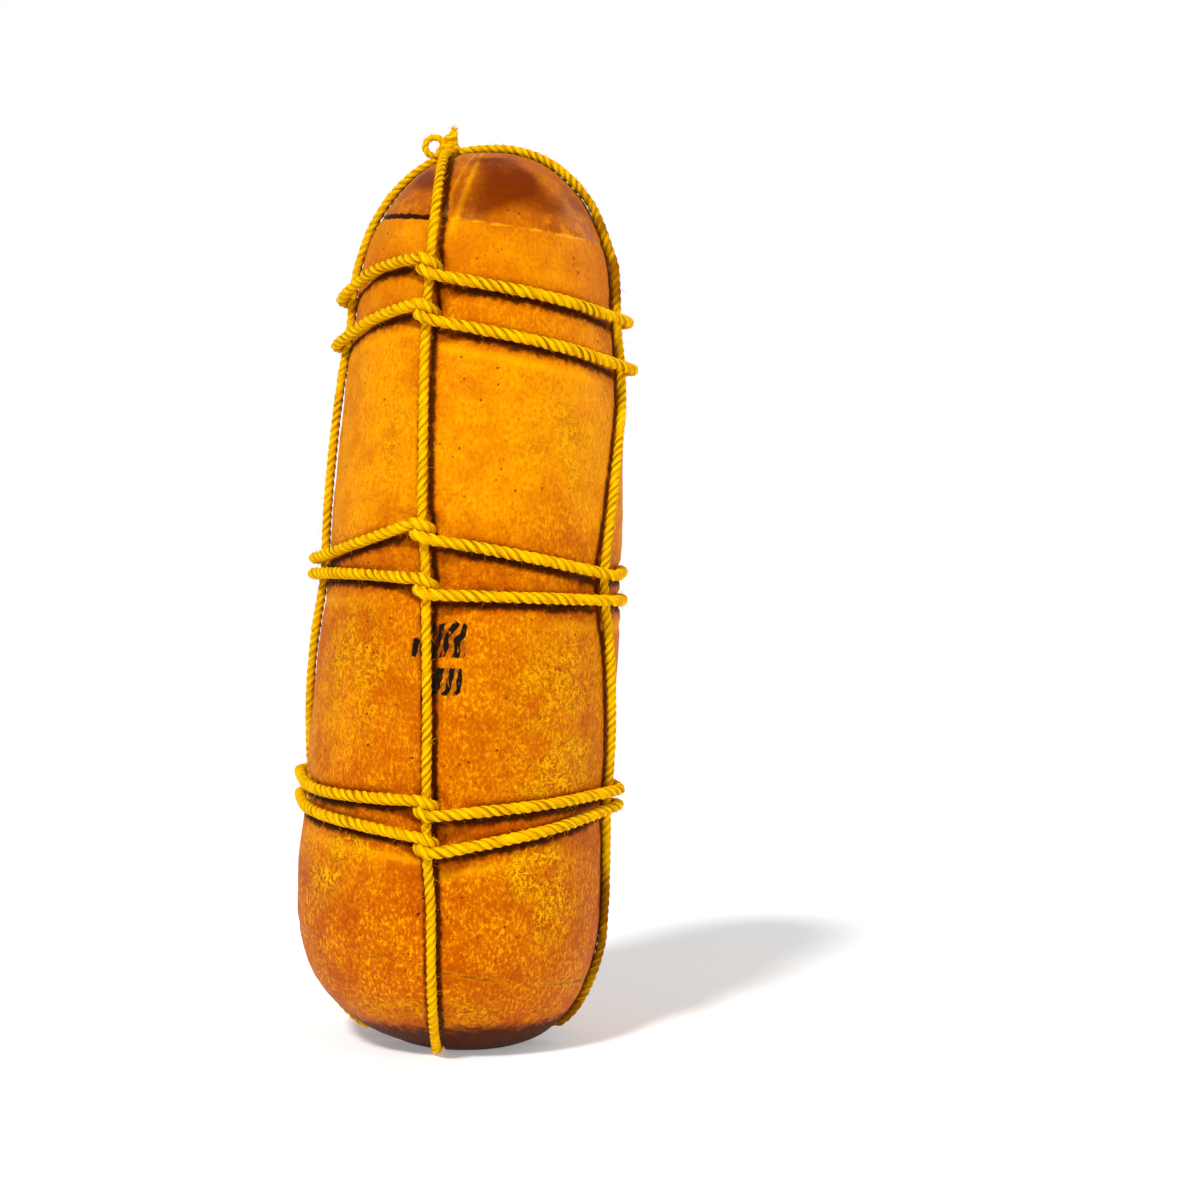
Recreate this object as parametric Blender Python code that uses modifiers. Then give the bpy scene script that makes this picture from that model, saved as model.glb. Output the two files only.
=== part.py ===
"""A provolone bound with cord: one tall cheese that leans a little and stands on its own
flattened end, two cords that run lengthwise round it, six cords that bind it crosswise,
and the knot on its top that gathers the lengthwise cords, with its eye, stub and tail.

Metres, +Z up. The origin is on the standing surface, under the middle of the object.
Azimuths are degrees round the cheese: 0 faces -Y, the front, and 90 faces +X, the right.
"""

import math

import bmesh
import bpy
from mathutils import Matrix, Vector

# The cheese: a barrel between two rounded ends
CHEESE_HEIGHT = 0.4035
BELLY_RADIUS = 0.0695
SHOULDER_RADIUS = 0.0595
BELLY_HEIGHT = 0.066  # where the lower end starts to round in
SHOULDER_HEIGHT = 0.335  # where the upper end starts to round in
TAPER_POWER = 2.7
LOWER_SQUARENESS = 2.3  # superellipse powers of the two ends
UPPER_SQUARENESS = 2.35
FLATTENED = 0.003  # how much of the lower end the cheese's own weight has pressed away
WAIST_DEPTH = 0.0012
WAIST_WIDTH = 0.018
WAIST_HEIGHTS = (0.110, 0.212, 0.325)
LOBES = ((2, 0.7, 0.004), (3, 2.1, 0.003))  # (count, phase, share of the radius)
SPINE = (  # (height, sideways place of the cheese's middle line)
    (0.000, 0.0008),
    (0.012, -0.0020),
    (0.032, -0.0057),
    (0.085, -0.0057),
    (0.155, 0.0003),
    (0.220, 0.0053),
    (0.300, 0.0088),
    (0.404, 0.0113),
)
SPINE_DEPTH = 0.0016  # place of the middle line from front to back
CHEESE_SEGMENTS = 34
LOWER_ROWS = 7
UPPER_ROWS = 7
PLAIN_ROWS = (1, 0, 3, 0, 3, 0, 0)  # rows of the barrel below, between and above the grooves

# The cords
LENGTH_CORD = 0.0022  # radius of the two lengthwise cords
BINDING_CORD = 0.0026  # radius of the six crosswise cords
GAP = 0.0004  # clearance between neighbouring solids
LAID = 0.0006  # a cord's clearance over the rind that it lies on
CORD_SIDES = 2  # bevel resolution
CORD_STEP = 0.014
TOP_TURN = 0.354  # height at which the lengthwise cords leave the barrel for the rounded top
GROOVE_DEPTH = 0.0030  # how deep the binding cords have pressed into the rind
GROOVE_HALF = 0.0033
SUNK = 0.0021  # how much lower than the bare rind's surface a binding cord lies

SIDES = ("left", "front", "right", "back")
COURSES = {  # (height, azimuth) of each lengthwise cord up the barrel
    "left": ((0.066, -108), (0.116, -106), (0.170, -92), (0.220, -88), (0.335, -88)),
    "front": ((0.066, -6), (0.097, -8.5), (0.160, -13), (0.215, -17.5), (0.24, -20), (0.335, -23.5)),
    "right": ((0.066, 82), (0.112, 76), (0.165, 66), (0.206, 57), (0.250, 62), (0.290, 73), (0.335, 76)),
    "back": ((0.066, 174), (0.110, 166), (0.215, 162), (0.335, 166)),
}
HOVERS = {  # how far each lengthwise cord stands off the rind between the binding cords
    "left": 0.0008,
    "front": 0.0012,
    "right": 0.0010,
    "back": 0.0012,
}
RINGS = (  # name, heights where it meets the SIDES in order, bows of the four spans after them
    ("binding_top_upper", (0.3370, 0.3435, 0.3250, 0.3310), (0.004, -0.001, 0.001, -0.001)),
    ("binding_top_lower", (0.3160, 0.3240, 0.3035, 0.3100), (0.002, -0.001, 0.001, 0.001)),
    ("binding_middle_upper", (0.2195, 0.2300, 0.2110, 0.2160), (-0.002, 0.000, 0.001, 0.001)),
    ("binding_middle_lower", (0.2125, 0.2060, 0.2000, 0.2050), (0.001, 0.000, -0.001, 0.000)),
    ("binding_bottom_upper", (0.1215, 0.1123, 0.1155, 0.1190), (-0.002, 0.000, 0.001, 0.001)),
    ("binding_bottom_lower", (0.1110, 0.0965, 0.1085, 0.1080), (0.001, 0.000, -0.001, 0.001)),
)

# The hitch on the front cord: the binding cord takes one full turn round it
DENT_RADIUS = 0.012
DENT_DEPTH = 0.0042
TURN_RADIUS = LENGTH_CORD + BINDING_CORD + GAP
TURN_LIFT = BINDING_CORD + GAP + TURN_RADIUS - DENT_DEPTH  # height of the front cord over the rind
TURN_PITCH = 2 * BINDING_CORD + 2 * GAP
TURN_LEAD = math.radians(25)  # how much further than one turn the cord goes at each end
TURN_STEPS = 10

# Where the cords cross beneath the cheese: (middle of the run, heading, height, half length)
FRONT_BACK_RUN = (Vector((-0.0087, 0.0016, 0.0)), Vector((0.085, 0.996, 0.0)), 0.0026, 0.036)
LEFT_RIGHT_RUN = (Vector((-0.0002, 0.0016, 0.0)), Vector((1.0, 0.02, 0.0)), 0.0078, 0.0415)
SLOT_FLOOR = -0.004
SLOT_PAST = 0.006

# The knot on the top
KNOT_PLAN = (-0.0185, 0.0)  # its place, seen from above, from the middle line of the shoulder
KNOT_REACH = 0.0096  # where the lengthwise cords stop, short of the knot's middle
EYE_RADIUS = 0.0037
EYE_CORD = 0.0014
STUB_LENGTH = 0.0105
TAIL_PLAN = (  # the loose tail's line, seen from above, from the middle line of the shoulder
    (-0.0105, 0.0052),
    (-0.0020, 0.0046),
    (0.0100, 0.0020),
    (0.0220, -0.0010),
    (0.0340, -0.0035),
    (0.0445, -0.0052),
)

RIND_COLOUR = (0.80, 0.36, 0.02, 1.0)
CORD_COLOUR = (0.86, 0.60, 0.05, 1.0)


def clear_scene():
    for obj in list(bpy.data.objects):
        bpy.data.objects.remove(obj)


def new_collection(name):
    collection = bpy.data.collections.new(name)
    bpy.context.scene.collection.children.link(collection)
    return collection


def plain_material(name, colour, roughness):
    material = bpy.data.materials.new(name)
    material.use_nodes = True
    shader = material.node_tree.nodes["Principled BSDF"]
    shader.inputs["Base Color"].default_value = colour
    shader.inputs["Roughness"].default_value = roughness
    shader.inputs["Metallic"].default_value = 0.0
    material.diffuse_color = colour
    return material


# ---- the cheese's shape as a function ----


def through(pairs, place):
    """The value at a place, on a smooth curve through (place, value) pairs in rising order."""
    if place <= pairs[0][0]:
        return pairs[0][1]
    if place >= pairs[-1][0]:
        return pairs[-1][1]
    last = len(pairs) - 1
    right = next(k for k in range(1, last + 1) if place <= pairs[k][0])
    left = right - 1

    def slope(k):
        if k in (0, last):
            return 0.0
        return (pairs[k + 1][1] - pairs[k - 1][1]) / (pairs[k + 1][0] - pairs[k - 1][0])

    span = pairs[right][0] - pairs[left][0]
    t = (place - pairs[left][0]) / span
    return (
        pairs[left][1] * (2 * t**3 - 3 * t**2 + 1)
        + pairs[right][1] * (3 * t**2 - 2 * t**3)
        + span * (slope(left) * (t**3 - 2 * t**2 + t) + slope(right) * (t**3 - t**2))
    )


def end_rounding(share, power):
    """A superellipse: 1 where an end starts to round in, 0 at its tip."""
    share = min(max(share, 0.0), 1.0)
    return (1 - share**power) ** (1 / power)


def profile(height):
    """The cheese's mean radius at a height."""
    taper = max(0.0, (height - BELLY_HEIGHT) / (SHOULDER_HEIGHT - BELLY_HEIGHT)) ** TAPER_POWER
    radius = BELLY_RADIUS - (BELLY_RADIUS - SHOULDER_RADIUS) * taper
    for waist in WAIST_HEIGHTS:
        radius -= WAIST_DEPTH * math.exp(-(((height - waist) / WAIST_WIDTH) ** 2))
    lower = end_rounding((BELLY_HEIGHT - height) / (BELLY_HEIGHT + FLATTENED), LOWER_SQUARENESS)
    upper = end_rounding((height - SHOULDER_HEIGHT) / (CHEESE_HEIGHT - SHOULDER_HEIGHT), UPPER_SQUARENESS)
    return radius * lower * upper


def girth(azimuth, height):
    """The radius at an azimuth in radians and a height, with the cheese's slight lobes."""
    lobes = sum(share * math.cos(count * azimuth + phase) for count, phase, share in LOBES)
    return profile(height) * (1 + lobes)


def middle(height):
    """The point of the cheese's middle line at a height."""
    return Vector((through(SPINE, height), SPINE_DEPTH, height))


def is_inside(point):
    if not 0.0 < point.z < CHEESE_HEIGHT:
        return False
    offset = point - middle(point.z)
    return math.hypot(offset.x, offset.y) < girth(math.atan2(offset.x, -offset.y), point.z)


def rind_point(core, way, gap):
    """The point a gap outside the rind, on the line from a core point inside the cheese."""
    near, far = 0.02, 0.12
    for _ in range(28):
        half = (near + far) / 2
        if is_inside(core + way * half):
            near = half
        else:
            far = half
    return core + way * (near + gap)


def round_way(azimuth):
    return Vector((math.sin(azimuth), -math.cos(azimuth), 0.0))


def on_barrel(azimuth, height, gap):
    """The point a gap outside the barrel, at an azimuth in radians and a height."""
    return middle(height) + round_way(azimuth) * (girth(azimuth, height) + gap)


def end_core(upper):
    """The height and the radius of the barrel where the cords leave it for one rounded end."""
    height = TOP_TURN if upper else BELLY_HEIGHT
    return height, profile(height)


def on_end(x, y, gap, upper):
    """The point a gap outside one rounded end, by its place seen from above, from that end's core."""
    height, arm = end_core(upper)
    core = middle(height)
    rise = math.sqrt(max(arm**2 - x**2 - y**2, 0.0))
    way = Vector((x, y, rise if upper else -rise)).normalized()
    return rind_point(core, way, gap)


# ---- where the cords run ----


def course(side, height):
    return math.radians(through(COURSES[side], height))


def lift(side, height):
    """How far a lengthwise cord's centre stands off the rind at a height up the barrel."""
    laid = LENGTH_CORD + LAID
    index = SIDES.index(side)
    held = TURN_LIFT if side == "front" else laid
    stops = {BELLY_HEIGHT - CORD_STEP: laid}
    heights = sorted(ring[1][index] for ring in RINGS)
    for low, high in zip(heights[1::2], heights[2::2]):
        stops[(low + high) / 2] = laid + HOVERS[side]
    for height_there in heights:
        stops[height_there] = held
    stops[TOP_TURN + CORD_STEP] = held
    return through(sorted(stops.items()), height)


def lengthwise_point(side, height):
    return on_barrel(course(side, height), height, lift(side, height))


def between(start, end, share):
    return start + (end - start) * share


def end_route(side, target, upper, stops):
    """Points over a rounded end, straight as seen from above, from the barrel to a target place."""
    height, arm = end_core(upper)
    start = round_way(course(side, height)) * arm
    end = Vector((*target, 0.0))
    gap = lift(side, height) if upper else LENGTH_CORD + LAID
    laid = LENGTH_CORD + LAID
    route = []
    for share in stops:
        place = between(start, end, share)
        route.append(on_end(place.x, place.y, gap + (laid - gap) * share, upper))
    return route


def run_ends(run):
    """The two ends of a cord's straight run beneath the cheese."""
    centre, heading, height, half_length = run
    along = heading.normalized() * half_length
    raised = centre + Vector((0.0, 0.0, height))
    return raised - along, raised + along


def half_route(side, run_end):
    """One side of a lengthwise cord, from its run beneath the cheese up to the knot."""
    height, arm = end_core(False)
    entry = (run_end - middle(height)).normalized() * arm
    lower = end_route(side, entry.xy, False, (0.9, 0.7, 0.5, 0.33, 0.19, 0.08))
    levels = int((TOP_TURN - BELLY_HEIGHT) / CORD_STEP)
    barrel = []
    for k in range(levels + 1):
        height = between(BELLY_HEIGHT, TOP_TURN, k / levels)
        barrel.append(lengthwise_point(side, height))
    knot = Vector((*KNOT_PLAN, 0.0))
    height, arm = end_core(True)
    shoulder = round_way(course(side, height)) * arm
    target = knot + (shoulder - knot).normalized() * KNOT_REACH
    upper = end_route(side, target.xy, True, (0.06, 0.15, 0.28, 0.44, 0.62, 0.8, 1.0))
    return lower + barrel + upper


def lengthwise_route(first, second, run):
    start, end = run_ends(run)
    return half_route(first, start)[::-1] + [start, end] + half_route(second, end)


def turn_points(height):
    """The binding cord's full turn round the front cord, from its left to its right."""
    centre = lengthwise_point("front", height)
    up = (lengthwise_point("front", height + 0.004) - centre).normalized()
    out = round_way(course("front", height))
    out = (out - up * out.dot(up)).normalized()
    across = up.cross(out)
    sweep = 2 * math.pi + 2 * TURN_LEAD
    drop = TURN_PITCH * sweep / (2 * math.pi)
    points = []
    for k in range(TURN_STEPS + 1):
        share = k / TURN_STEPS
        angle = sweep * share - TURN_LEAD
        turned = across * math.sin(angle) + out * math.cos(angle)
        points.append(centre + turned * TURN_RADIUS + up * (drop * (0.5 - share)))
    return points


def crossing_gap(side, height):
    """How far the binding cord's centre stands off the rind where it crosses a lengthwise cord."""
    if side == "front":
        return lift(side, height) + TURN_RADIUS * math.cos(TURN_LEAD)
    return lift(side, height) + LENGTH_CORD + BINDING_CORD + GAP


def standing_off(distance, peak, radius):
    """How far a taut cord stands off the rind at a distance from where it is lifted to a peak."""
    laid = BINDING_CORD + LAID - SUNK
    tangent = math.sqrt(2 * radius * max(peak - laid, 0.0))
    rounded = math.hypot(distance, LENGTH_CORD) - LENGTH_CORD
    return laid + max(tangent - rounded, 0.0) ** 2 / (2 * radius)


def binding_spans(heights, bows):
    """(side, first and last azimuth, first and last height, bow) of each span, from the left cord."""
    drop = TURN_PITCH * (1 + TURN_LEAD / math.pi)
    edge = math.sin(TURN_LEAD) * TURN_RADIUS / BELLY_RADIUS
    spans = []
    for k, side in enumerate(SIDES):
        following = SIDES[(k + 1) % 4]
        leaving, arriving = heights[k], heights[(k + 1) % 4]
        low, high = course(side, leaving), course(following, arriving)
        if high < low:
            high += 2 * math.pi
        if side == "front":
            ends = leaving + drop / 2, leaving - drop / 2
            spans.append(("hitch", low - edge, low + edge, *ends, 0.0))
            leaving -= drop / 2
            low += edge
        if following == "front":
            arriving += drop / 2
            high -= edge
        spans.append((side, low, high, leaving, arriving, bows[k]))
    return spans


def height_in_span(span, share):
    return between(span[3], span[4], share) + span[5] * 4 * share * (1 - share)


def binding_height(spans, azimuth):
    """The height of a binding cord at an azimuth."""
    turned = spans[0][1] + (azimuth - spans[0][1]) % (2 * math.pi)
    span = next((span for span in spans if turned <= span[2]), spans[-1])
    return height_in_span(span, (turned - span[1]) / (span[2] - span[1]))


def binding_route(spans, heights):
    """A binding cord's closed line: over each lengthwise cord, with the turn at the front one."""
    route = []
    for span in spans:
        side, low, high, leaving, arriving, _ = span
        if side == "hitch":
            route += turn_points(heights[SIDES.index("front")])
            continue
        following = SIDES[(SIDES.index(side) + 1) % 4]
        radius = girth(low, leaving)
        length = (high - low) * radius
        peaks = crossing_gap(side, leaving), crossing_gap(following, arriving)
        steps = max(4, round(length / CORD_STEP))
        for step in range(1 if side == "front" else 0, steps):
            share = step / steps
            gap = max(
                standing_off(share * length, peaks[0], radius),
                standing_off((1 - share) * length, peaks[1], radius),
            )
            route.append(on_barrel(between(low, high, share), height_in_span(span, share), gap))
    return route


# ---- making the objects ----


def add_object(name, data, collection, material=None):
    obj = bpy.data.objects.new(name, data)
    collection.objects.link(obj)
    if material:
        data.materials.append(material)
    return obj


def add_cord(name, points, radius, cyclic, collection, material):
    """A round cord along a line of points, closed into a loop if cyclic."""
    curve = bpy.data.curves.new(name, "CURVE")
    curve.dimensions = "3D"
    curve.bevel_depth = radius
    curve.bevel_resolution = CORD_SIDES
    curve.use_fill_caps = True
    spline = curve.splines.new("POLY")
    spline.points.add(len(points) - 1)
    for spline_point, point in zip(spline.points, points):
        spline_point.co = (*point, 1.0)
    spline.use_cyclic_u = cyclic
    spline.use_smooth = True
    return add_object(name, curve, collection, material)


def end_shares(rows, power, first):
    """How far up a rounded end each row is, evenly round its curve from a first share to the tip."""
    start = math.asin(first ** (power / 2))
    angles = [between(start, math.pi / 2, row / rows) for row in range(1, rows)]
    return [math.sin(angle) ** (2 / power) for angle in angles]


def barrel_rows(all_spans, azimuth):
    """(height, depth) of the barrel's rows at an azimuth: three for each groove, plain ones between."""
    grooves = sorted(binding_height(spans, azimuth) for spans in all_spans)
    rows = [(BELLY_HEIGHT, 0.0)]
    for count, centre in zip(PLAIN_ROWS, grooves + [TOP_TURN + GROOVE_HALF]):
        foot = rows[-1][0]
        edge = centre - GROOVE_HALF
        rows += [(between(foot, edge, row / (count + 1)), 0.0) for row in range(1, count + 1)]
        rows += [(edge, 0.0), (centre, GROOVE_DEPTH), (centre + GROOVE_HALF, 0.0)]
    return rows[:-2]


def cheese_rows(all_spans, azimuth):
    """(height, depth) of every row of the cheese at an azimuth, from its flat foot to just under its tip."""
    depth = BELLY_HEIGHT + FLATTENED
    lower = [depth * share for share in end_shares(LOWER_ROWS, LOWER_SQUARENESS, 0.0)]
    end = CHEESE_HEIGHT - SHOULDER_HEIGHT
    first = (TOP_TURN - SHOULDER_HEIGHT) / end
    upper = [end * share for share in end_shares(UPPER_ROWS, UPPER_SQUARENESS, first)]
    return (
        [(0.0, 0.0)]
        + [(BELLY_HEIGHT - fall, 0.0) for fall in reversed(lower) if fall < BELLY_HEIGHT]
        + barrel_rows(all_spans, azimuth)
        + [(SHOULDER_HEIGHT + rise, 0.0) for rise in upper]
    )


def add_cheese(all_spans, collection, material):
    """A sphere whose rows are drawn out to the cheese's own profile, down to the flat foot."""
    count = len(cheese_rows(all_spans, 0.0))
    mesh = bpy.data.meshes.new("cheese")
    shape = bmesh.new()
    bmesh.ops.create_uvsphere(shape, u_segments=CHEESE_SEGMENTS, v_segments=count + 1, radius=1.0)
    for vertex in shape.verts:
        latitude = math.asin(max(-1.0, min(1.0, vertex.co.z)))
        row = round((latitude / math.pi + 0.5) * (count + 1))
        if row == 0:
            vertex.co = middle(0.0)
        elif row == count + 1:
            vertex.co = middle(CHEESE_HEIGHT)
        else:
            azimuth = math.atan2(vertex.co.x, -vertex.co.y)
            height, depth = cheese_rows(all_spans, azimuth)[row - 1]
            vertex.co = on_barrel(azimuth, height, -depth)
    shape.to_mesh(mesh)
    shape.free()
    mesh.shade_smooth()
    return add_object("cheese", mesh, collection, material)


def as_cutter(obj, cutters):
    obj.hide_render = True
    obj.display_type = "WIRE"
    for collection in list(obj.users_collection):
        collection.objects.unlink(obj)
    cutters.objects.link(obj)


def add_slot(name, run, cutters):
    """A round-topped slot under the cheese that holds a cord's run."""
    centre, heading, height, half_length = run
    half_width = LENGTH_CORD + LAID
    top = height + half_width
    bpy.ops.mesh.primitive_cube_add(size=1.0)
    slot = bpy.context.object
    slot.name = name
    size = Vector((2 * half_width, 2 * (half_length + SLOT_PAST), top - SLOT_FLOOR))
    slot.data.transform(Matrix.Diagonal((*size, 1.0)))
    slot.location = centre + Vector((0.0, 0.0, (top + SLOT_FLOOR) / 2))
    slot.rotation_euler.z = math.atan2(-heading.x, heading.y)
    edges = slot.data.attributes.new("bevel_weight_edge", "FLOAT", "EDGE")
    for edge in slot.data.edges:
        ends = [slot.data.vertices[i].co for i in edge.vertices]
        is_top = all(end.z > 0 for end in ends)
        is_long = abs(ends[0].y - ends[1].y) > half_length
        edges.data[edge.index].value = 1.0 if is_top and is_long else 0.0
    bevel = slot.modifiers.new("rounded top", "BEVEL")
    bevel.limit_method = "WEIGHT"
    bevel.width = half_width * 0.9
    bevel.segments = 3
    as_cutter(slot, cutters)


def add_dent(height, cutters):
    """The round dent that a hitch's inner turn presses into the rind."""
    bpy.ops.mesh.primitive_uv_sphere_add(segments=20, ring_count=12, radius=DENT_RADIUS)
    dent = bpy.context.object
    dent.name = f"dent_{round(height * 1000)}"
    dent.location = on_barrel(course("front", height), height, DENT_RADIUS - DENT_DEPTH)
    as_cutter(dent, cutters)


def knot_frame():
    """The knot's own axes: z straight out of the rind, x towards the right, y towards the back."""
    spot = on_end(*KNOT_PLAN, 0.0, True)
    out = (spot - middle(SHOULDER_HEIGHT)).normalized()
    back = Vector((0.0, 1.0, 0.0))
    right = back.cross(out).normalized()
    frame = Matrix((right, out.cross(right), out)).transposed().to_4x4()
    frame.translation = spot
    return frame


def add_torus(name, major, minor, frame, place, tilt, collection, material):
    """A ring of cord in the knot's axes, tilted by degrees about x and y."""
    bpy.ops.mesh.primitive_torus_add(
        major_radius=major, minor_radius=minor, major_segments=14, minor_segments=7
    )
    torus = bpy.context.object
    torus.name = name
    about_x = Matrix.Rotation(math.radians(tilt[0]), 4, "X")
    about_y = Matrix.Rotation(math.radians(tilt[1]), 4, "Y")
    torus.data.transform(frame @ Matrix.Translation(place) @ about_x @ about_y)
    for owner in list(torus.users_collection):
        owner.objects.unlink(torus)
    collection.objects.link(torus)
    torus.data.materials.append(material)
    return torus


def mesh_of_curve(obj, collection):
    """A cord turned into a closed mesh object, so that it can be joined to another."""
    graph = bpy.context.evaluated_depsgraph_get()
    mesh = bpy.data.meshes.new_from_object(obj.evaluated_get(graph))
    shape = bmesh.new()
    shape.from_mesh(mesh)
    bmesh.ops.remove_doubles(shape, verts=shape.verts, dist=0.00001)
    shape.to_mesh(mesh)
    shape.free()
    name = obj.name
    matrix = obj.matrix_world.copy()
    bpy.data.objects.remove(obj)
    made = add_object(name, mesh, collection)
    made.matrix_world = matrix
    return made


def add_knot(collection, joined, material):
    """The knot: a low turn and a tilted turn over it, round a core, with its eye and its stub."""
    frame = knot_frame()
    low = LENGTH_CORD + LAID
    knot = add_torus("top_knot", 0.0036, LENGTH_CORD, frame, (0, 0, low), (0, 0), collection, material)
    over = (0.001, 0, low + 0.0026)
    aside = (-0.0050, -0.0012, low + 0.0042)
    pieces = [
        add_torus("tilted_turn", 0.0030, LENGTH_CORD, frame, over, (62, 18), joined, material),
        add_torus("eye", EYE_RADIUS, EYE_CORD, frame, aside, (86, 14), joined, material),
    ]
    bpy.ops.mesh.primitive_uv_sphere_add(segments=12, ring_count=8, radius=0.0036)
    core = bpy.context.object
    core.name = "knot_core"
    core.data.transform(frame @ Matrix.Translation((0, 0, low + 0.0012)))
    pieces.append(core)
    foot = frame @ Vector((0.0016, 0.0, low + 0.002))
    tip = foot + Vector((0.10, 0.04, 1.0)).normalized() * STUB_LENGTH
    line = [foot, between(foot, tip, 0.5), tip]
    stub = add_cord("stub", line, LENGTH_CORD * 0.95, False, joined, material)
    pieces.append(mesh_of_curve(stub, joined))
    for piece in pieces:
        union = knot.modifiers.new(piece.name, "BOOLEAN")
        union.operation = "UNION"
        union.object = piece
        as_cutter(piece, joined)
    knot.data.shade_smooth()


def tail_route():
    """The knot's loose tail, which lies over the shoulder just behind the right cord."""
    guides = [on_end(x, y, LENGTH_CORD + LAID, True) for x, y in TAIL_PLAN]
    lengths = [k / (len(guides) - 1) for k in range(len(guides))]
    axes = [[(share, guide[axis]) for share, guide in zip(lengths, guides)] for axis in range(3)]
    steps = 2 * (len(guides) - 1)
    return [Vector([through(pairs, k / steps) for pairs in axes]) for k in range(steps + 1)]


def main():
    clear_scene()
    parts = new_collection("provolone cheese")
    cutters = new_collection("cutters")
    joined = new_collection("knot pieces")
    rind = plain_material("waxed rind", RIND_COLOUR, 0.45)
    jute = plain_material("jute cord", CORD_COLOUR, 0.85)

    bindings = [(name, heights, binding_spans(heights, bows)) for name, heights, bows in RINGS]
    cheese = add_cheese([spans for _, _, spans in bindings], parts, rind)
    add_slot("slot_front_back", FRONT_BACK_RUN, cutters)
    add_slot("slot_left_right", LEFT_RIGHT_RUN, cutters)
    for _, heights, _ in bindings:
        add_dent(heights[SIDES.index("front")], cutters)
    cut = cheese.modifiers.new("slots and dents", "BOOLEAN")
    cut.operation = "DIFFERENCE"
    cut.operand_type = "COLLECTION"
    cut.collection = cutters

    front_back = lengthwise_route("front", "back", FRONT_BACK_RUN)
    left_right = lengthwise_route("left", "right", LEFT_RIGHT_RUN)
    add_cord("cord_front_back", front_back, LENGTH_CORD, False, parts, jute)
    add_cord("cord_left_right", left_right, LENGTH_CORD, False, parts, jute)
    for name, heights, spans in bindings:
        add_cord(name, binding_route(spans, heights), BINDING_CORD, True, parts, jute)
    add_knot(parts, joined, jute)
    add_cord("knot_tail", tail_route(), LENGTH_CORD * 0.9, False, parts, jute)


main()
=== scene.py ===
"""A tall provolone bound with jute cord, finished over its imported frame, on a pale studio floor.

Metres, +Z up. The origin is on the standing surface, under the middle of the object.
Azimuths are degrees round the cheese: 0 faces -Y, the front, and 90 faces +X, the right.
"""

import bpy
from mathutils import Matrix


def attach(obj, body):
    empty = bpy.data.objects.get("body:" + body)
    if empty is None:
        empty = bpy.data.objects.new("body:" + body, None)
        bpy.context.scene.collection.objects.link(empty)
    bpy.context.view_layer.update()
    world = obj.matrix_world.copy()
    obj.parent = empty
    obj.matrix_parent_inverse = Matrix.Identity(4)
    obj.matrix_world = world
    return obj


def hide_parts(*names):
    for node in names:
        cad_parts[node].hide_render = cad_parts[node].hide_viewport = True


bl_info = {
    "name": "Bound Provolone",
    "version": (1, 0, 0),
    "blender": (4, 5, 0),
    "location": "3D View > Sidebar > Provolone",
    "description": "Makes a cord-bound provolone, rind, cords and knot, and a small studio for it",
    "category": "Add Mesh",
}

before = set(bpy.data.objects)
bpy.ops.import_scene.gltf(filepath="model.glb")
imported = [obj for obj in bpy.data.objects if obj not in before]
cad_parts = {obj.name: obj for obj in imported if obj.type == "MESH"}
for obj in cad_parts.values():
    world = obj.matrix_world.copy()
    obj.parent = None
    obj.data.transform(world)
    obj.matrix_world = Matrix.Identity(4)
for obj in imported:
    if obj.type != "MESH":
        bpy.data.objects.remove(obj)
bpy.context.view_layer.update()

import math
import random

import bmesh
import bpy
import numpy as np
from bpy.props import FloatProperty, FloatVectorProperty, IntProperty, PointerProperty
from mathutils import Matrix, Vector, kdtree, noise

# ---- the shape that the frame's solids were made from ----

CHEESE_HEIGHT = 0.4035
BELLY_RADIUS = 0.0695
SHOULDER_RADIUS = 0.0595
BELLY_HEIGHT = 0.066
SHOULDER_HEIGHT = 0.335
TAPER_POWER = 2.7
LOWER_SQUARENESS = 2.3
UPPER_SQUARENESS = 2.35
FLATTENED = 0.003
WAIST_DEPTH = 0.0012
WAIST_WIDTH = 0.018
WAIST_HEIGHTS = (0.110, 0.212, 0.325)
LOBES = ((2, 0.7, 0.004), (3, 2.1, 0.003))
SPINE = (  # (height, shift to the right) of the middle line
    (0.000, 0.0008),
    (0.012, -0.0020),
    (0.032, -0.0057),
    (0.085, -0.0057),
    (0.155, 0.0003),
    (0.220, 0.0053),
    (0.300, 0.0088),
    (0.404, 0.0113),
)
SPINE_DEPTH = 0.0016

LENGTH_CORD = 0.0022
BINDING_CORD = 0.0026
GAP = 0.0004
LAID = 0.0006
RESTING = LENGTH_CORD - 0.0001  # the soft cord's centre over the rind, a little closer than the frame's
SEATED = RESTING - 0.0006  # the same on the foot, where the cord carries the cheese's weight
TOP_TURN = 0.354
GROOVE_DEPTH = 0.0030
GROOVE_HALF = 0.0033
SUNK = 0.0021

SIDES = ("left", "front", "right", "back")
COURSES = {  # (height, azimuth in degrees from the front towards the right) along each side's cord
    "left": ((0.066, -108), (0.116, -106), (0.170, -92), (0.220, -88), (0.335, -88)),
    "front": ((0.066, -6), (0.097, -8.5), (0.160, -13), (0.215, -17.5), (0.24, -20), (0.335, -23.5)),
    "right": ((0.066, 82), (0.112, 76), (0.165, 66), (0.206, 57), (0.250, 62), (0.290, 73), (0.335, 76)),
    "back": ((0.066, 174), (0.110, 166), (0.215, 162), (0.335, 166)),
}
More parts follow.
